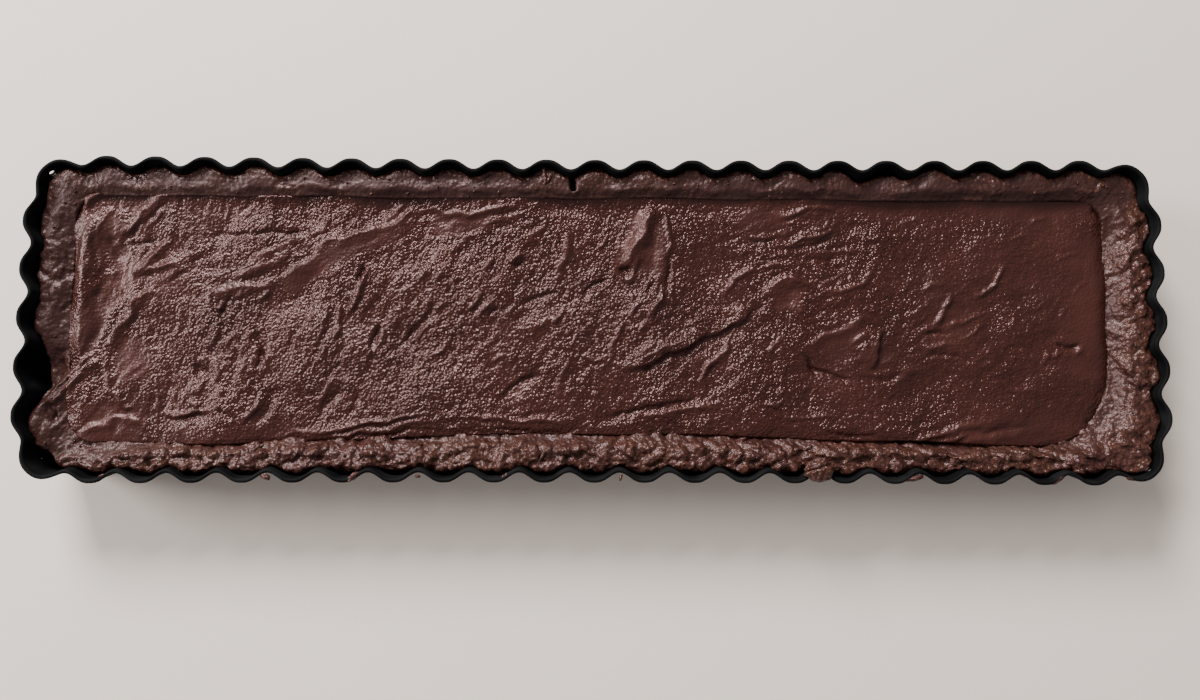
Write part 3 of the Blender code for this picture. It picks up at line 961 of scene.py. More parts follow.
class TART_OT_crumbs(bpy.types.Operator):
    """Makes the lump of dough over the lip and the loose crumbs"""

    bl_idname = "tart.crumbs"
    bl_label = "Lump and Crumbs"

    def execute(self, context):
        settings = context.scene.tart_pastry
        material = shared_material("cocoa_shortcrust", pastry_material, settings)
        finish_piece("dough_lump", lump_bm(), material)
        crust = context.scene.objects["pastry_crust"]
        finish_piece("loose_crumbs", crumbs_bm(crust, settings.crumbs), material)
        return {"FINISHED"}


# --- The filling ---

# The tables are in millimetres. A fold is a ridge (or, with a negative height, a crease) along
# a smooth line: it falls away over one width on the left of its direction and another on the
# right, and tapers at its ends.
Fold = namedtuple("Fold", "name height left right points")
# A track is a smooth trough that the spatula has wiped.
Track = namedtuple("Track", "name depth half_width points")
# A brushing is a patch of fine streaks in one direction.
Brushing = namedtuple("Brushing", "x y reach_x reach_y angle height")

FOLDS_LEFT = [
    Fold("left bank", 2.0, 4.2, 5,
         [(-159, -20), (-159.5, -8), (-159.6, 4), (-159.2, 14), (-157.5, 26), (-154.5, 37)]),
    Fold("left bank's shoulder", 0.9, 2.4, 2.2,
         [(-160.5, 10), (-161, 18), (-159.5, 27), (-157, 34)]),
    Fold("peak's mound", 1.2, 5, 4.5, [(-168, -28), (-161.5, -20), (-156.5, -15), (-150.5, -11)]),
    Fold("peak's first strand", 0.8, 1.6, 1.0,
         [(-170, -27), (-166.5, -22.5), (-162.5, -17.5), (-158.5, -13), (-153.5, -11)]),
    Fold("peak's second strand", 0.8, 1.6, 1.0,
         [(-169.5, -28.5), (-165, -24), (-160.5, -20), (-156, -16.5)]),
    Fold("hole under the peak", -2.0, 1.8, 1.8, [(-169, -26), (-167, -29), (-165.5, -32)]),
    Fold("drip from the peak", 1.2, 1.0, 1.2, [(-166.5, -24), (-165, -28), (-164, -33)]),
    Fold("track's far bank", 1.2, 1.8, 2.6,
         [(-152, -12), (-149.6, -6), (-147.6, -1), (-143, 5), (-136, 11)]),
    Fold("bank's leg", 1.1, 1.3, 1.3, [(-152, -12), (-151, -17), (-149, -23.5), (-145, -27.5)]),
    Fold("bank's knot", 1.2, 1.4, 1.4, [(-149, -24), (-145.5, -27), (-141, -27.5)]),
    Fold("feather", 1.3, 2.6, 2.0, [(-150, 25), (-144.5, 31), (-138.5, 37), (-134, 40.5)]),
    Fold("feather's stroke a", 0.9, 1.0, 0.9, [(-146, 31.5), (-142, 35.5), (-138, 39.5)]),
    Fold("feather's stroke b", 0.9, 1.0, 0.9, [(-143.5, 30), (-139.5, 34), (-136, 38)]),
    Fold("feather's stroke c", 0.9, 1.0, 0.9, [(-141.5, 28.5), (-137.5, 32.5), (-134.5, 36)]),
    Fold("second feather", 1.4, 2.4, 2.2, [(-146, 14), (-140, 17.5), (-136, 22), (-134, 26)]),
    Fold("feather's root", 1.5, 1.6, 1.6, [(-143.5, 14.5), (-140, 15.5), (-136, 16.5), (-130, 17)]),
    Fold("line between feathers", -0.8, 0.8, 0.8, [(-148, 23.5), (-143, 24), (-137, 25)]),
    Fold("knot", 1.0, 1.1, 1.1, [(-147.5, 24.2), (-146, 23.8), (-144.5, 23.6)]),
    Fold("corner swirl", 1.2, 2.4, 1.8, [(-160.5, 33), (-158.5, 37.5), (-154.5, 40.3), (-149, 40)]),
    Fold("inner corner", 0.7, 1.0, 1.2, [(-156, 24), (-155, 30), (-152, 34), (-150, 32)]),
    Fold("dark well", -1.0, 2.5, 2.5, [(-153, 26), (-151, 22), (-149, 18)]),
    Fold("left streak a", 0.6, 0.8, 1.0, [(-158.5, 14), (-157, 20), (-157.5, 28)]),
    Fold("left streak b", 0.6, 0.7, 0.9, [(-156, 14), (-154.5, 21), (-155.5, 27)]),
    Fold("left streak c", 0.5, 0.7, 0.9, [(-160, -13), (-158, -7), (-157, -2)]),
    Fold("low lobe a", 0.8, 2.5, 2.5, [(-158, -36), (-153, -33), (-148, -35)]),
    Fold("low lobe b", 0.8, 1.4, 2.4, [(-152, -33), (-145, -30.5), (-139, -34)]),
    Fold("front crease, left", -0.8, 1.0, 1.8, [(-134, -30.5), (-126, -30.6), (-116, -30.8)]),
    Fold("crumpled lip", 1.1, 1.5, 0.9, [(-136, -29), (-130, -29.4), (-123, -29.2), (-117, -29.6)]),
    Fold("streak d", 0.9, 0.8, 1.4, [(-135.5, -22), (-135.5, -26), (-134.5, -29)]),
    Fold("streak e", 0.9, 0.8, 1.4, [(-131, -22), (-129.5, -26), (-127.5, -30)]),
    Fold("blob", 1.3, 2.0, 2.0, [(-126, -25.5), (-123.5, -27), (-121.5, -28.5)]),
]
FOLDS_NEAR_LEFT = [
    Fold("long fold", 0.9, 2.0, 5.0, [(-124, 8), (-113, 10), (-104, 10.6), (-97, 12.6)]),
    Fold("long fold turns back", 1.1, 2.1, 6.5,
         [(-101, 11.6), (-95, 14.6), (-89, 20), (-83, 24.3)]),
    Fold("long fold ends", 1.1, 2.1, 6.5,
         [(-88, 21.4), (-79, 26), (-69, 29.5), (-60, 33), (-52, 36)]),
    Fold("bright tuft", 1.1, 2.0, 1.6, [(-68, 31.5), (-64, 33.5), (-60, 36.5)]),
    Fold("bright tuft b", 0.9, 1.2, 1.0, [(-63.5, 30), (-60.5, 32), (-57.5, 35.5)]),
    Fold("crease far left", -0.35, 1.6, 2.6, [(-138, 9), (-131, 13), (-124, 16), (-116, 18)]),
    Fold("mid ridge", 0.4, 1.6, 2.4, [(-112, 18), (-103, 21), (-96, 25), (-90, 28)]),
    Fold("lower mid ridge", 0.35, 1.4, 2.4, [(-116, 13), (-107, 15.5), (-100, 19), (-93, 23)]),
    Fold("top crease", -0.7, 0.8, 1.2, [(-124, 26), (-112, 27), (-101, 27.5), (-91, 28.5)]),
    Fold("top hollow", -0.9, 0.8, 1.0, [(-97.5, 28), (-95, 28.2), (-92.5, 28.6)]),
    Fold("top bead", 0.9, 0.9, 1.0, [(-90, 26.6), (-87, 27.6), (-84, 28.6)]),
    Fold("bright bead", 1.0, 1.2, 1.2, [(-87, 22.5), (-84, 25), (-81, 26.5)]),
    Fold("standing streak a", 0.8, 0.9, 1.6, [(-117, 30), (-116.5, 33), (-115.5, 37)]),
    Fold("standing streak b", 0.7, 0.8, 1.3, [(-113.5, 29), (-112.5, 32), (-112.5, 36)]),
    Fold("standing streak c", 0.7, 0.9, 1.2, [(-110, 32), (-108.5, 34), (-107.5, 36)]),
    Fold("small pleat", 1.3, 1.6, 0.9,
         [(-121, 9), (-120, 5.5), (-118, 3.8), (-115.5, 5), (-114, 8.5)]),
    Fold("pleat's slit", -1.5, 0.8, 1.0, [(-117, 1.5), (-115.7, 4), (-114.2, 8.5)]),
    Fold("pleat's ear", 0.9, 0.8, 0.9, [(-113.5, 7.5), (-111.5, 8), (-109.5, 9.5)]),
    Fold("diagonal lip", 1.2, 1.4, 0.9, [(-105.5, 4.5), (-103.5, 6.5), (-101, 9.8)]),
    Fold("cluster a", 1.0, 1.1, 1.3, [(-119, -7), (-118, -4), (-116.5, -1.5)]),
    Fold("cluster b", 1.3, 1.2, 1.2, [(-115.5, -9), (-113, -5.5), (-110, -5)]),
    Fold("cluster c", 0.9, 1.0, 1.2, [(-111, -3), (-108.5, -4.5), (-107, -7)]),
    Fold("cluster d", 0.8, 1.0, 1.2, [(-109, -10), (-108.5, -14), (-110, -19)]),
    Fold("pit", -1.6, 3.2, 3.2, [(-125, -16), (-122, -16.5), (-119.5, -16.5)]),
    Fold("pit's rim", 1.1, 1.2, 1.3, [(-121, -12), (-117.5, -14), (-117.2, -18), (-120, -21.5)]),
    Fold("pit's foot", 0.9, 1.0, 1.1, [(-118.5, -19.5), (-116, -22), (-113.5, -22.5)]),
    Fold("small pit", -0.9, 1.4, 1.4, [(-117, -28.5), (-114.5, -30), (-111.5, -31)]),
    Fold("short valley", -1.2, 1.4, 1.8, [(-107, -2), (-104, -6), (-103, -10.5), (-105, -17)]),
    Fold("valley's hole", -1.2, 1.0, 1.2, [(-104.5, -8.5), (-103.6, -10.3), (-103.5, -12)]),
    Fold("front valley", -1.0, 2.8, 3.4, [(-98.5, -20), (-101, -27), (-106, -33.5)]),
    Fold("beside the valley", 0.8, 1.4, 1.6, [(-103.5, -24), (-105.5, -28), (-108.5, -33)]),
    Fold("streak f", 0.9, 0.8, 1.4, [(-86, -7), (-84.5, -1), (-83.6, 5)]),
    Fold("streak g", 1.1, 1.9, 1.0, [(-81.6, -9), (-80.6, -4), (-79.8, 2), (-80.2, 7)]),
    Fold("streak h", 1.1, 1.9, 1.1, [(-77.4, 0), (-75.8, 5), (-73, 11), (-70.6, 17.5)]),
    Fold("slit h", -1.2, 0.8, 1.2, [(-75, 12), (-73.2, 15), (-72, 18.4)]),
    Fold("slit i", -1.2, 0.9, 1.6, [(-69.6, -10), (-68.8, -5), (-67.8, 0.5)]),
    Fold("beside slit i", 1.3, 0.9, 1.0, [(-67, -9), (-66.6, -4.5), (-65.6, -1)]),
    Fold("low streak", 0.6, 1.2, 1.8, [(-86, -28), (-84, -23), (-81, -18)]),
    Fold("low hollow", -0.7, 2.2, 3.0, [(-79, -20), (-82, -26), (-87, -32)]),
    Fold("low hollow b", -0.6, 1.5, 1.8, [(-72, -20), (-74, -26), (-77, -31)]),
]
FOLDS_MIDDLE = [
    Fold("long left crease", -0.9, 1.5, 2.2, [(-62, -10), (-57, -3), (-51, 3), (-48, 10)]),
    Fold("pair a", 1.2, 1.1, 0.9, [(-59.5, -8), (-55.5, -4.5), (-51, -1)]),
    Fold("pair b", 1.1, 1.4, 1.2, [(-52, -12), (-48, -9.5), (-46, -6)]),
    Fold("nick a", 0.8, 0.9, 0.9, [(-51, 10.5), (-49.5, 13), (-47.5, 16)]),
    Fold("nick b", 1.2, 1.2, 1.0, [(-35, 15.5), (-33.5, 18), (-31, 19)]),
    Fold("nick c", 1.2, 1.9, 0.9, [(-27.8, 17.8), (-25.4, 20.4), (-22, 22.6)]),
    Fold("nick c's pit", -0.9, 0.8, 0.9, [(-26, 17.2), (-23.8, 18.6), (-22, 20.2)]),
    Fold("nick d", 1.1, 1.7, 0.9, [(-40.4, 2.6), (-37.5, 6), (-34.5, 9.8)]),
    Fold("nick e", 1.1, 1.6, 0.9, [(-37.2, 0), (-34.6, 3), (-32, 5.4)]),
    Fold("nick e's pit", -1.0, 0.9, 1.0, [(-34, 0.6), (-32, 2.2), (-29.5, 3.6)]),
    Fold("nick f", 0.9, 0.9, 1.0, [(-28, 1), (-26, 4.5), (-24.5, 7)]),
    Fold("crease j", -0.8, 0.8, 1.4, [(-24, 5.5), (-18, 7.5), (-11, 9.5)]),
    Fold("crease k", -1.1, 1.0, 1.8, [(-4, 6), (-2.5, 9), (1.5, 11.5), (5, 12.5)]),
    Fold("nick l", 1.2, 1.8, 1.4, [(-14, -2.5), (-11.5, 0.5), (-9, 4)]),
    Fold("nick m", 0.8, 1.2, 1.2, [(-33, -14), (-30, -12), (-27, -11)]),
    Fold("dark facet's edge", -1.0, 1.0, 6.5, [(-31, -28), (-27, -22), (-22, -18), (-15, -16)]),
    Fold("soft streak", 0.7, 2.4, 2.4, [(-12, 12), (-9.5, 20), (-8, 30)]),
    Fold("soft streak b", 0.5, 1.8, 2.0, [(-12, -26), (-10, -18), (-7.5, -10)]),
    Fold("nick n", 0.8, 1.2, 1.2, [(1, 22), (2.5, 25), (4.5, 28)]),
    Fold("nick o", 0.7, 1.2, 1.4, [(4, -10.5), (0, -12), (-4, -11)]),
    Fold("diagonal p", 0.6, 1.6, 2.0, [(-47, 20), (-42, 25), (-36, 28)]),
    Fold("diagonal q", 0.6, 1.6, 2.0, [(-22, 24), (-18, 28), (-14, 32)]),
    Fold("back ridge a", 0.8, 1.4, 2.0,
         [(-58, 31.5), (-55, 34.2), (-50, 34.8), (-44, 33.6), (-34, 34.6), (-22, 37)]),
    Fold("back ridge b", 0.5, 0.9, 1.4, [(-36, 30), (-28, 32), (-20, 35)]),
]
FOLDS_RIGHT_OF_MIDDLE = [
    Fold("big fold's flank", 1.9, 4.2, 3.4,
         [(10.4, 14), (11.6, 19), (14, 25.5), (17, 32), (20.5, 37.5)]),
    Fold("big fold's foot", 1.1, 1.4, 1.1,
         [(7.0, 19), (6.6, 15.5), (8.6, 12.6), (11.2, 13.4), (13.4, 18), (14.4, 24)]),
    Fold("foot's pit", -1.6, 1.2, 1.4, [(8.6, 17.6), (10, 16), (11.4, 17)]),
    Fold("big fold's well", -0.5, 3.4, 3.0, [(19.5, 34), (18.6, 27), (17.6, 19), (17.6, 11)]),
    Fold("big fold's right wall", 1.1, 1.7, 1.0, [(20.8, 36), (23.2, 31.5), (24, 27), (23.2, 21)]),
    Fold("wall's head", 0.9, 1.2, 2.4, [(19.5, 36), (22.5, 36.5), (26, 35)]),
    Fold("beyond the wall", -1.0, 1.0, 1.6, [(24.8, 24), (24.2, 18), (23.2, 11), (22, 6)]),
    Fold("tail", 1.4, 2.2, 1.0, [(21.6, 10.8), (20.6, 7), (18, 3.4), (16.4, -1)]),
    Fold("tail's pit", -0.9, 1.4, 1.4, [(19.5, 12.5), (17.5, 10.5), (15.5, 8.5)]),
    Fold("second tail", 0.9, 1.6, 0.9, [(14.8, 7), (12.4, 4), (10, 0.5)]),
    Fold("bank to the tongue", 1.2, 1.4, 1.4, [(9.5, 0.5), (7, -4), (5.8, -8.5), (6.4, -12)]),
    Fold("tongue's edge", 1.5, 8.0, 1.3,
         [(5.6, -11.5), (9, -14.6), (14.5, -14.4), (21, -11.4), (28, -7.8), (36, -4), (42, -0.6)]),
    Fold("tongue's edge runs on", 1.3, 6.0, 1.4, [(36, -4), (42, -0.8), (47.5, 1.8), (51.5, 5.4)]),
    Fold("under the tongue", -0.5, 0.9, 2.4,
         [(10, -15.4), (16, -15.2), (24, -11.6), (34, -6.6), (44, -1.8)]),
    Fold("tongue's streak a", 0.8, 0.9, 1.3, [(11, -12), (16, -9.5), (23, -5.5)]),
    Fold("tongue's streak b", 0.7, 0.9, 1.2, [(14, -13), (21, -9.6), (30, -4.5)]),
    Fold("curled lip", 1.1, 1.9, 7.0, [(53, 7), (55.4, 11), (59.4, 13.2), (64, 12.2), (66.6, 9)]),
    Fold("hollow", -0.5, 3.6, 4.2, [(61, 4), (61.5, 7.5), (62.5, 11)]),
    Fold("hollow's tail", -0.8, 2.2, 2.6, [(46, 1.4), (49.5, 2.8), (54, 5)]),
    Fold("slanting ridge", 1.3, 1.4, 1.2, [(33.5, -17.5), (37, -13.5), (40.5, -9.5), (43, -4.5)]),
    Fold("slanting ridge b", 0.6, 1.0, 1.2, [(32, -19), (35, -16), (38, -12)]),
    Fold("nick r", 1.0, 1.1, 1.1, [(54.5, -11), (56.5, -8), (59, -5)]),
    Fold("nick s", 0.7, 0.9, 1.0, [(58, -12), (58.5, -9), (58.5, -6)]),
    Fold("light arc a", 0.8, 1.6, 1.2, [(40, 8), (43, 12), (47, 15.5), (53, 17)]),
    Fold("light arc b", 0.6, 1.0, 1.2, [(52, 17.5), (58, 18), (63, 17)]),
    Fold("dark wave", -0.9, 1.4, 3.2, [(-2, -31.5), (8, -29.7), (16, -28), (26, -25.5), (36, -23)]),
    Fold("lip under the wave", 0.8, 1.2, 2.4, [(10, -31.5), (20, -29.2), (30, -27), (42, -25.8)]),
    Fold("flat nick", 0.8, 1.0, 1.2, [(50, -25.5), (55, -26.3), (61, -24)]),
    Fold("flat nick b", 0.5, 0.9, 1.2, [(58, -31.5), (66, -30), (76, -30.5)]),
    Fold("ridge t", 0.8, 1.5, 1.2, [(46, 28), (52, 26.8), (58, 27.4), (66, 30)]),
    Fold("ridge t's crease", -0.5, 0.8, 1.2, [(46, 27.5), (54, 26), (62, 29)]),
    Fold("ridge u", 0.8, 1.4, 1.2, [(56, 31.5), (62, 34.2), (70, 35.4), (80, 35.6)]),
    Fold("arc v", 1.3, 1.3, 1.0, [(55, 25.4), (63, 25.2), (70, 27), (75, 30), (78, 34)]),
    Fold("arc v's inner", 1.0, 1.1, 1.0, [(69, 28.6), (73, 30.5), (75.5, 33.5)]),
    Fold("arc v's crease", -0.5, 0.8, 1.4, [(56, 23.6), (66, 23.6), (73, 26), (78, 30.5)]),
    Fold("back lines a", 0.5, 0.7, 1.0, [(62, 21.5), (74, 22), (86, 23)]),
    Fold("back lines b", -0.6, 0.8, 1.2, [(62, 19.7), (72, 19.5), (80, 20.5)]),
    Fold("back lines c", 0.5, 0.7, 1.0, [(60, 13.5), (66, 12), (72, 12.5)]),
]
FOLDS_RIGHT = [
    Fold("arc w", 1.1, 1.2, 1.4, [(70, 11), (77, 9.6), (84, 12.2), (91, 18.5)]),
    Fold("arc w's crest", 0.9, 0.9, 0.9, [(71, 11), (74.5, 13), (78, 16)]),
    Fold("arc w's hollow", -0.9, 1.4, 1.4, [(73, 19), (76, 18), (78, 16.5)]),
    Fold("facet's top", 0.5, 1.3, 4.0, [(61, -9.4), (67.5, -7.4), (76, -3), (83.5, 1), (92, 3.2)]),
    Fold("facet's right edge", 1.6, 9, 1.5, [(84.6, -15.5), (87.6, -11), (88.8, -6), (89.2, -1)]),
    Fold("facet's inner edge", 0.5, 1.6, 1.4, [(81, -8.5), (83.5, -6), (86, -3)]),
    Fold("facet's crease", -1.1, 1.2, 2.0, [(64.5, -11.5), (69, -14.5), (75, -17), (82, -18.5)]),
    Fold("crease's nick", -0.9, 1.0, 1.0, [(65.5, -10.5), (68, -13.5), (70, -17)]),
    Fold("below the facet", -0.6, 1.4, 2.2, [(82, -17.5), (90, -18.5), (99, -16)]),
    Fold("swell", 0.6, 2.5, 2.5, [(93, -20), (98, -16.5), (104, -14.5)]),
    Fold("ridge x", 0.9, 1.6, 1.2, [(106, -2.8), (109, 1.5), (111.5, 6.5), (113.4, 10)]),
    Fold("ridge y", 0.9, 1.0, 1.1, [(114.5, -5.5), (118.5, -3), (123.5, 0)]),
    Fold("ridge z", 0.7, 1.0, 1.4, [(110, -1.5), (117, 1), (126, 4)]),
    Fold("crease z", -0.9, 1.0, 1.3, [(102, -4.6), (106, -3.4), (112, -4)]),
    Fold("lobe z", 0.8, 1.3, 1.4, [(102.5, -7), (107, -8.2), (113, -7)]),
    Fold("lobe z2", -0.6, 0.9, 1.2, [(104, -10), (112, -10.5), (120, -12)]),
    Fold("hook", 0.9, 1.5, 0.9,
         [(117.5, 7.5), (122, 9.4), (126.5, 12.6), (129.2, 17), (129.4, 20.5)]),
    Fold("hook's root", 0.5, 1.2, 1.2, [(102, 10), (106, 12), (112, 13)]),
    Fold("tick a", 0.9, 0.9, 1.0, [(97, 31.3), (100, 32.3), (103, 33.6)]),
    Fold("tick b", 0.9, 0.9, 0.9, [(131.5, 26), (134, 27.5), (136.5, 28)]),
    Fold("tick c", 0.9, 0.8, 0.9, [(138, 31.6), (142, 33.2), (145, 34)]),
    Fold("star a", 1.2, 0.8, 0.9, [(146, 22.5), (147.5, 20.8), (150, 19.6)]),
    Fold("star b", 0.9, 0.8, 0.9, [(148, 20.6), (151, 21.4), (154, 22)]),
    Fold("curl", 1.5, 1.2, 1.0, [(141, -9), (142, -12), (144.8, -11.2), (146, -8.6)]),
    Fold("curl's pit", -1.4, 1.2, 1.4, [(144.5, -6.2), (149, -8), (153.5, -7.6)]),
    Fold("curl's tail", 0.8, 0.8, 0.9, [(139.5, -15.5), (141, -13), (142.2, -10.5)]),
    Fold("tick d", 0.9, 0.9, 0.9, [(150.2, -10.2), (152, -9.6), (153.6, -8.8)]),
    Fold("tick e", 0.8, 0.8, 1.0, [(146.4, 0.5), (147.2, 3), (148.4, 5.6)]),
    Fold("tick f", 0.8, 0.8, 0.9, [(134.5, -1.5), (136.2, 0), (137.4, 1.6)]),
    Fold("tick g", 0.6, 0.7, 0.8, [(151.5, 9), (154, 11.5), (156, 13.5)]),
    Fold("front wave a", 1.1, 1.2, 2.0, [(94, -38.2), (103, -36.5), (112, -33.4), (122, -30.5)]),
    Fold("front wave b", 0.8, 1.0, 1.6, [(98, -38), (108, -37.5), (118, -35)]),
    Fold("front hollow", -0.8, 2.0, 3.0, [(112, -35.5), (124, -34), (138, -33)]),
    Fold("faint line", 0.5, 0.8, 0.9, [(128, -20), (134, -21.5), (140, -22)]),
]
FRONT_LIPS = [
    Fold("lip line a", 1.0, 1.1, 0.9,
         [(-104, -36.6), (-92, -35.4), (-78, -34), (-66, -31.4), (-52, -29), (-42, -28.4)]),
    Fold("lip line b", 0.8, 1.0, 0.8, [(-84, -36.3), (-70, -35), (-57, -32.4), (-46, -30)]),
    Fold("under the lips", -0.8, 0.8, 1.1,
         [(-118, -38.2), (-102, -37.8), (-86, -37), (-70, -36.2), (-58, -34.8), (-40, -33.6)]),
    Fold("between the lips", -0.5, 0.7, 0.7,
         [(-88, -35.6), (-74, -34.4), (-60, -31.4), (-50, -30)]),
    Fold("front edge, middle", 0.8, 1.2, 1.2,
         [(-44, -30.8), (-30, -30.4), (-14, -31.6), (-6, -32.5)]),
    Fold("front slit, middle", -0.6, 0.8, 1.0, [(-42, -34), (-28, -34.4), (-12, -34.8), (0, -33)]),
    Fold("front slit, right", -0.7, 0.9, 1.0, [(70, -34.2), (80, -35.6), (90, -36.8)]),
]
TRACKS = [
    Track("long track", 0.6, 4.2, [(-161, -12), (-156.5, 0), (-151.5, 8), (-145, 13)]),
    Track("left slope", 0.0, 3.5, [(-152, 20), (-152, 27), (-149, 33)]),
    Track("well by the bank", 0.3, 3.4, [(-149.5, 24), (-148, 16), (-144, 10)]),
    Track("behind the far bank", 0.0, 4.2, [(-145, -4), (-144, -12), (-143, -21)]),
    Track("low left", 0.2, 7, [(-158, -34), (-148, -33), (-138, -35)]),
    Track("under the long fold", 0.0, 2.4,
          [(-101, 8.5), (-92, 13), (-84, 19.5), (-72, 24.5), (-60, 29)]),
    Track("behind the long fold", 0.0, 3.6, [(-54, 30.5), (-44, 31), (-30, 32)]),
    Track("big fold", 0.0, 4.4, [(18.6, 33), (18.2, 24), (17.6, 13)]),
    Track("big fold's bright flank", 0.0, 3.0, [(8.4, 14), (9.8, 21), (13, 29), (17, 36)]),
    Track("curled lip", 0.1, 4.2, [(60.5, 2), (61, 7), (61.5, 12)]),
    Track("right smear", 0.0, 3.6, [(44, 34), (54, 32), (62, 35)]),
    Track("facet", 0.0, 4.2, [(70, -9), (77, -6), (84, -3)]),
    Track("below the facet", 0.1, 4, [(82, -14), (88, -12), (93, -6)]),
    Track("right end", 0.1, 6, [(152, -24), (156, -6), (156, 14), (155, 33)]),
    Track("right back", 0.1, 3.5, [(120, 36), (136, 36.5), (152, 36.5)]),
    Track("front right", 0.2, 4.5, [(112, -36.5), (128, -35), (146, -31)]),
]
BRUSHINGS = [
    Brushing(-150, 18, 16, 26, 78, 0.5),
    Brushing(-150, -22, 16, 18, 60, 0.4),
    Brushing(-120, -10, 26, 24, 78, 0.35),
    Brushing(-118, 30, 40, 12, 82, 0.3),
    Brushing(-110, 18, 34, 9, 28, 0.35),
    Brushing(-75, -4, 30, 22, 66, 0.4),
    Brushing(-72, 28, 26, 9, 24, 0.35),
    Brushing(-34, 4, 36, 26, 52, 0.4),
    Brushing(-28, 33, 34, 7, 12, 0.4),
    Brushing(0, -14, 26, 18, 62, 0.3),
    Brushing(22, -4, 22, 14, 34, 0.35),
    Brushing(62, 28, 34, 12, 14, 0.4),
    Brushing(46, -18, 26, 14, 44, 0.3),
    Brushing(92, -2, 34, 18, 26, 0.3),
    Brushing(126, -6, 26, 26, 20, 0.25),
    Brushing(112, -34, 40, 6, 14, 0.35),
    Brushing(-20, -30, 90, 5, 6, 0.35),
]

GRID_ALONG = 600
GRID_ACROSS = 148
PATH_STEPS = 7
END_TAPER = 0.3
STEEPEST = 0.55  # of a fold's width on its left, so that the flank there still catches light
POLISH = 0.6  # how much of the grain a narrow fold's crest has lost
NARROW = 3  # the width on its left below which a fold counts as narrow
EDGE_TUCK = 0.5 * MM  # the filling reaches this far into the pastry, so that no gap shows
EDGE_DIPS = {"left": 0.9, "right": 1.4, "front": 0.6, "back": -1.0}
EDGE_DIP_REACH = 4.5
WAVE_FADE = 12  # the power by which the edge's wave dies away inwards
WAVE_CENTRE = 0.9  # of the way out to a corner's middle, from where the wave pushes


def smooth_path(points, steps=PATH_STEPS):
    """A smooth line through the points, in millimetres."""
    known = [np.array(p, float) for p in points]
    known = [2 * known[0] - known[1]] + known + [2 * known[-1] - known[-2]]
    line = []
    for a, b, c, d in zip(known, known[1:], known[2:], known[3:]):
        for step in range(steps):
            t = step / steps
            line.append(
                0.5 * (2 * b + (c - a) * t + (2 * a - 5 * b + 4 * c - d) * t**2
                       + (3 * b - a - 3 * c + d) * t**3)
            )
    line.append(known[-2])
    return np.array(line)


def from_path(line, places, width):
    """For the places near a line: which they are, how far to its left, and how far along."""
    low, high = line.min(0) - width, line.max(0) + width
    near = np.flatnonzero(((places >= low) & (places <= high)).all(1))
    spots = places[near]
    best = np.full(len(near), 1e9)
    side = np.zeros(len(near))
    along = np.zeros(len(near))
    runs = np.diff(line, axis=0)
    lengths = np.hypot(*runs.T)
    travelled = np.concatenate([[0], np.cumsum(lengths)])
    for start, run, length, before in zip(line, runs, lengths, travelled):
        away = spots - start
        t = np.clip(away @ run / length**2, 0, 1)
        gap = away - t[:, None] * run
        distance = np.hypot(*gap.T)
        closer = distance < best
        best[closer] = distance[closer]
        turn = run[0] * away[:, 1] - run[1] * away[:, 0]
        side[closer] = np.sign(turn[closer])
        along[closer] = (before + t * length)[closer] / travelled[-1]
    return near, best * np.where(side == 0, 1, side), along


def tapered(along):
    """1 along a line, easing to 0 at both of its ends."""
    return ease(along / END_TAPER) * ease((1 - along) / END_TAPER)


def add_fold(heights, places, fold, factor, grain=None):
    """Raises one fold: steep or gentle on each side of its line, and smooth if it is narrow."""
    width = max(fold.left, fold.right)
    near, offset, along = from_path(smooth_path(fold.points), places, width)
    reach_there = np.where(offset > 0, fold.left, fold.right)
    t = np.clip(np.abs(offset) / reach_there, 0, 1)
    crest = 0.5 * (1 - t * t) ** 2 + 0.5 * (1 - t) ** 2
    taper = tapered(along)
    height = min(fold.height, STEEPEST * fold.left)
    heights[near] += factor * height * crest * taper
    if grain is not None and height > 0 and fold.left < NARROW:
        grain[near] *= 1 - POLISH * crest * taper


def wipe_track(heights, grain, places, track):
    """Presses one smooth trough and takes the grain out of it."""
    line = smooth_path(track.points)
    near, offset, along = from_path(line, places, 1.3 * track.half_width)
    t = np.abs(offset) / track.half_width
    taper = tapered(along)
    heights[near] -= track.depth * ease((1.2 - t) / 0.5) * taper
    grain[near] *= 1 - 0.7 * ease((1.3 - t) / 0.6) * ease(2 * taper)


STREAKS_LONG = (9, 2.4)  # along and across a patch of streaks
STREAKS_SHORT = (5, 1.1)


def brushed(places, brushing, seed):
    """Fine streaks inside an oval patch."""
    away = places - np.array([brushing.x, brushing.y])
    oval = np.hypot(away[:, 0] / brushing.reach_x, away[:, 1] / brushing.reach_y)
    share = ease((1.15 - oval) / 0.7)
    near = np.flatnonzero(share > 0)
    angle = math.radians(brushing.angle)
    along = away[near] @ np.array([math.cos(angle), math.sin(angle)])
    across = away[near] @ np.array([-math.sin(angle), math.cos(angle)])
    streaks = [
        noise.noise(Vector((u / STREAKS_LONG[0], v / STREAKS_LONG[1], seed)))
        + 0.6 * noise.noise(Vector((u / STREAKS_SHORT[0], v / STREAKS_SHORT[1], seed)))
        for u, v in zip(along, across)
    ]
    result = np.zeros(len(places))
    result[near] = brushing.height * share[near] * np.array(streaks)
    return result


def noise_over(places, size, seed, octaves=1):
    return np.array([
        noise.fractal(Vector((x / size, y / size, seed)), 1.0, 2.0, octaves) for x, y in places
    ])


def bubbles_over(places, size, seed):
    """Rounded bubbles side by side, up to 0.5."""
    return np.array([
        0.5 - noise.voronoi(Vector((x / size, y / size, seed)))[0][0] for x, y in places
    ])


GRAIN_PATCH = 20
GRAIN_LIMITS = (0.25, 1.2)


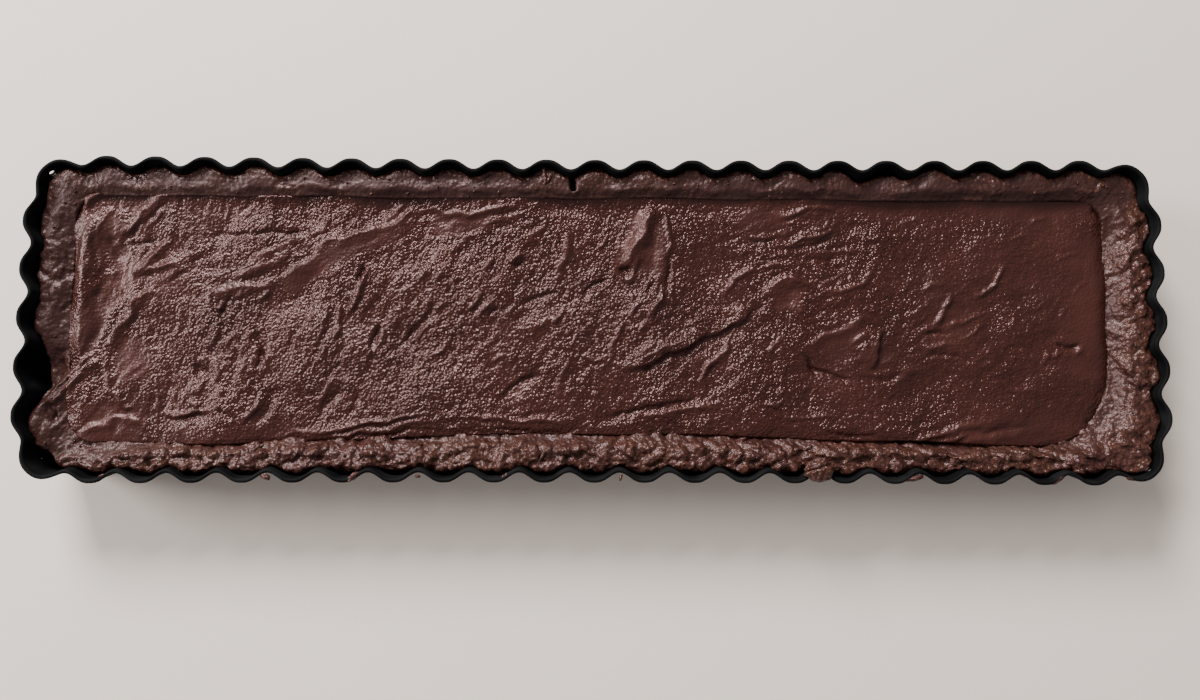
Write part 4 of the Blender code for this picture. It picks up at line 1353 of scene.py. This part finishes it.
def grain_over(places):
    """How bubbly the surface is: most in the middle, less at both ends and along the sides."""
    x, y = places.T
    base = 0.62 + 0.38 * ease((x + 165) / 90) - 0.42 * ease((x - 50) / 70)
    patches = 0.42 * noise_over(places, GRAIN_PATCH, 4.4, 2)
    edges = 0.25 * ease((np.abs(y) - 30) / 8)
    return np.clip(base + patches - edges, *GRAIN_LIMITS)


WANDER_WIDE = (1.3, 6)  # how far the folds stray from their lines, and over what length
WANDER_FINE = (0.45, 2.2)


def wandering(places):
    """The places pushed about a little, so that no fold follows its line exactly."""
    pushed = []
    for x, y in places:
        push = Vector()
        for (far, size), seed in ((WANDER_WIDE, 3.3), (WANDER_FINE, 6.6)):
            push += noise.noise_vector(Vector((x / size, y / size, seed))) * far
        pushed.append(push[:2])
    return places + np.array(pushed)


def squared_to_rounded(bm):
    """Moves a grid that spans -1 to 1 onto the rim's rounded opening."""
    edges = opening_sides()
    for vert in bm.verts:
        u, v = vert.co.x, vert.co.y
        vert.co.x, vert.co.y = opening_place(edges, u, v)


def opening_sides():
    """How far the opening's right, left, back and front sides lie from the tin's middle."""
    right = TIN_LENGTH / 2 - REACH_RIGHT + EDGE_TUCK
    left = TIN_LENGTH / 2 - REACH_LEFT + EDGE_TUCK
    back = TIN_WIDTH / 2 - REACH_BACK + EDGE_TUCK
    front = TIN_WIDTH / 2 - REACH_FRONT + EDGE_TUCK
    return right, left, back, front


def opening_place(edges, u, v):
    """Where a place of the square lands in the opening with its rounded corners."""
    right, left, back, front = edges
    x = u * (right if u > 0 else left)
    swell = FRONT_SWELL * smooth_bump(x, FRONT_SWELL_HALF)
    y = v * (back if v > 0 else front - swell)
    radius = BACK_CORNER if v > 0 else (FRONT_RIGHT_CORNER if u > 0 else FRONT_LEFT_CORNER)
    centre_x = math.copysign((right if u > 0 else left) - radius, u)
    centre_y = math.copysign((back if v > 0 else front - swell) - radius, v)
    over_x = (x - centre_x) * math.copysign(1, u)
    over_y = (y - centre_y) * math.copysign(1, v)
    if over_x > 0 and over_y > 0:
        scale = max(over_x, over_y) / math.hypot(over_x, over_y)
        x = centre_x + math.copysign(over_x * scale, u)
        y = centre_y + math.copysign(over_y * scale, v)
    wave = lumps(Vector((x, y)), EDGE_WAVE_SIZE, EDGE_WAVE, 3.7)
    push = max(abs(u), abs(v)) ** WAVE_FADE
    direction = Vector((x - WAVE_CENTRE * centre_x, y - WAVE_CENTRE * centre_y))
    if over_x < 0:
        direction.x = 0
    if over_y < 0:
        direction.y = 0
    if direction.length:
        x, y = Vector((x, y)) - direction.normalized() * wave * push
    return x, y


def edge_dip(u, v):
    """How far the surface falls towards the pastry, from the grid's own places."""
    right, left, back, front = (edge / MM for edge in opening_sides())
    dips = np.zeros(len(u))
    for gap, side in (
        ((u + 1) * left, "left"),
        ((1 - u) * right, "right"),
        ((v + 1) * front, "front"),
        ((1 - v) * back, "back"),
    ):
        fall = np.clip(1 - gap / EDGE_DIP_REACH, 0, 1)
        dips += EDGE_DIPS[side] * fall * fall
    return dips


FOLDS = [*FOLDS_LEFT, *FOLDS_NEAR_LEFT, *FOLDS_MIDDLE, *FOLDS_RIGHT_OF_MIDDLE, *FOLDS_RIGHT,
         *FRONT_LIPS]
MOUND_SIZE = 19
RIPPLE_SIZE = 6.5
PORE_SIZE = 2.2
BUBBLE_SIZE = 1.5


def filling_heights(u, v, places, settings):
    """The spread surface over the opening, in millimetres, and how bubbly it is."""
    level = (LEVEL / MM) - (SHEER / TIN_LENGTH) * places[:, 0]
    heights = np.zeros(len(places))
    grain = grain_over(places)
    steady = places
    places = wandering(places)
    for fold in FOLDS:
        add_fold(heights, places, fold, settings.folds, grain)
    for track in TRACKS:
        wipe_track(heights, grain, places, track)
    for index, brushing in enumerate(BRUSHINGS):
        heights += settings.streaks * brushed(places, brushing, 10.5 + index)
    mounds = 1.15 + 0.45 * ease((-60 - steady[:, 0]) / 60)
    heights += mounds * noise_over(steady, MOUND_SIZE, 1.3, 2)
    heights += 0.2 * noise_over(places, RIPPLE_SIZE, 7.9, 3)
    bubbly = noise_over(steady, PORE_SIZE, 2.2) + bubbles_over(steady, BUBBLE_SIZE, 5.1)
    heights += grain * settings.bubbles / MM * bubbly
    return level + heights - edge_dip(u, v), grain


def chocolate_material(settings):
    """Set chocolate cream: a bubbly grain with a soft sheen and painted shade between its bubbles,
    smoother in the wiped tracks.
    """
    material, tree, shader = new_material("chocolate_cream")
    spot = object_place(tree)
    bubbly = add_node(tree, "ShaderNodeAttribute", attribute_name="grain").outputs["Fac"]
    grain = placed_group(tree, grain_group(), spot, Cell_Size_mm=0.85, Fine_Share=0.5)
    uneven = placed_group(tree, patch_group(), spot, Patch_Size_mm=18, Contrast=0.12)
    dark = tuple(0.72 * channel for channel in settings.chocolate)
    light = tuple(1.35 * channel for channel in settings.chocolate)
    base = mixed_colour(tree, uneven.outputs["Mask"], settings.chocolate, light)
    # painted shade: the crevices between the bubbles are darkened, more so where the surface is bubbly
    crevice_shade = times(tree, ranged(tree, grain.outputs["Cells"], 0.1, 0.55, 0.9, 0.0), bubbly)
    base = mixed_colour(tree, crevice_shade, base, dark)
    tree.links.new(base, shader.inputs["Base Color"])
    gloss = ranged(tree, bubbly, 0.35, 0.95, 0.36, 0.16)
    tree.links.new(gloss, shader.inputs["Roughness"])
    shader.inputs["Specular Tint"].default_value = (*CREAM_TINT, 1)
    strength = ranged(tree, bubbly, 0.1, 1.1, 0.3, 1.0)
    link_bump(tree, shader, grain.outputs["Height"], strength, 0.3 * MM)
    return material


class TART_OT_filling(bpy.types.Operator):
    """Makes the chocolate filling, with its folds, tracks and bubbly grain"""

    bl_idname = "tart.filling"
    bl_label = "Filling"

    def execute(self, context):
        noise.seed_set(NOISE_SEED)
        settings = context.scene.tart_filling
        bm = bmesh.new()
        bmesh.ops.create_grid(bm, x_segments=GRID_ALONG, y_segments=GRID_ACROSS, size=1)
        square = np.array([vert.co[:2] for vert in bm.verts])
        squared_to_rounded(bm)
        places = np.array([vert.co[:2] for vert in bm.verts]) / MM
        heights, grain = filling_heights(square[:, 0], square[:, 1], places, settings)
        grains = bm.verts.layers.float.new("grain")
        for vert, height, share in zip(bm.verts, heights, grain):
            vert.co.z = height * MM
            vert[grains] = share
        close_below(bm, FLOOR + 2 * CLEARANCE + CASE_FLOOR)
        finish_piece("chocolate_cream", bm, chocolate_material(settings),
                     "filling")
        return {"FINISHED"}


def close_below(bm, bottom):
    """Closes an open surface down to a flat underside."""
    rim = [edge for edge in bm.edges if edge.is_boundary]
    made = bmesh.ops.extrude_edge_only(bm, edges=rim)["geom"]
    for item in made:
        if isinstance(item, bmesh.types.BMVert):
            item.co.z = bottom
    rim = [edge for edge in bm.edges if edge.is_boundary]
    bmesh.ops.edgeloop_fill(bm, edges=rim)
    bmesh.ops.recalc_face_normals(bm, faces=bm.faces)


# --- The stage ---

CAMERA_X = -1.22 * MM
CAMERA_Y = -41.6 * MM
CAMERA_TURN_DEG = (5.95, -0.53, 0.19)
LENS_MM = 30
SENSOR_MM = 36
FLOOR_HALF = 1.5
WINDOW_SIZE = 0.5
WINDOW_PLACE = Vector((-0.45, 1.1, 0.88))
SIDE_WINDOW_SIZE = 0.5
SIDE_WINDOW_PLACE = Vector((-1.25, 0.3, 0.62))
WINDOW_COLOUR = (1.0, 0.97, 0.94)
ROOM_COLOUR = (1.0, 0.965, 0.95)


def stage_floor(settings):
    material, _, shader = new_material("pale_floor")
    shader.inputs["Base Color"].default_value = (*settings.floor, 1)
    shader.inputs["Roughness"].default_value = 0.6
    bm = bmesh.new()
    bmesh.ops.create_grid(bm, x_segments=1, y_segments=1, size=FLOOR_HALF)
    floor = object_from(bm, "pale_floor")
    floor.data.materials.append(material)
    floor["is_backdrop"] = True


def window_light(name, size, power, location):
    """A square soft light that faces the tart."""
    data = bpy.data.lights.new(name, "AREA")
    data.shape = "SQUARE"
    data.size = size
    data.energy = power
    data.color = WINDOW_COLOUR
    light = add_to_scene(name, data)
    light.location = location
    light.rotation_euler = location.to_track_quat("Z", "Y").to_euler()


def room_light(settings):
    world = bpy.data.worlds.new("room")
    world.use_nodes = True
    background = world.node_tree.nodes["Background"]
    background.inputs["Color"].default_value = (*ROOM_COLOUR, 1)
    background.inputs["Strength"].default_value = settings.room
    bpy.context.scene.world = world


def camera_above(settings):
    data = bpy.data.cameras.new("from_above")
    data.lens = LENS_MM
    data.sensor_width = SENSOR_MM
    data.clip_start = 0.01
    camera = add_to_scene("from_above", data)
    camera.location = (CAMERA_X, CAMERA_Y, settings.eye_height)
    camera.rotation_mode = "ZYX"
    camera.rotation_euler = Euler([math.radians(angle) for angle in CAMERA_TURN_DEG], "ZYX")
    bpy.context.scene.camera = camera


class TART_OT_stage(bpy.types.Operator):
    """Sets out the floor, the lights and the camera"""

    bl_idname = "tart.stage"
    bl_label = "Stage"

    def execute(self, context):
        settings = context.scene.tart_stage
        stage_floor(settings)
        window_light("window", WINDOW_SIZE, settings.window, WINDOW_PLACE)
        window_light("side_window", SIDE_WINDOW_SIZE, settings.side_window, SIDE_WINDOW_PLACE)
        room_light(settings)
        camera_above(settings)
        return {"FINISHED"}


class TART_PT_panel(bpy.types.Panel):
    """Lists the tart's operators, each over its settings"""

    bl_idname = "TART_PT_panel"
    bl_label = "Chocolate Tart"
    bl_space_type = "VIEW_3D"
    bl_region_type = "UI"
    bl_category = "Tart"

    def draw(self, context):
        for operator, settings in STEPS:
            box = self.layout.box()
            box.operator(operator.bl_idname)
            group = getattr(context.scene, settings)
            for name in group.__annotations__:
                box.prop(group, name)


SETTINGS = {
    "tart_tin": TinSettings,
    "tart_pastry": PastrySettings,
    "tart_filling": FillingSettings,
    "tart_stage": StageSettings,
}
STEPS = [
    (TART_OT_tin, "tart_tin"),
    (TART_OT_pastry, "tart_pastry"),
    (TART_OT_crumbs, "tart_pastry"),
    (TART_OT_filling, "tart_filling"),
    (TART_OT_stage, "tart_stage"),
]
CLASSES = [*SETTINGS.values(), *(operator for operator, _ in STEPS), TART_PT_panel]


def register():
    for item in CLASSES:
        bpy.utils.register_class(item)
    for name, group in SETTINGS.items():
        setattr(bpy.types.Scene, name, bpy.props.PointerProperty(type=group))


def unregister():
    for name in SETTINGS:
        delattr(bpy.types.Scene, name)
    for item in reversed(CLASSES):
        bpy.utils.unregister_class(item)


def main():
    cad_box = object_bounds()
    register()
    for operator, _ in STEPS:
        group, name = operator.bl_idname.split(".")
        getattr(getattr(bpy.ops, group), name)()
    sizes = {"cad": cad_box, "visual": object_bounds()}
    {key: [list(corner) for corner in box] for key, box in sizes.items()}


if __name__ == "__main__":
    main()
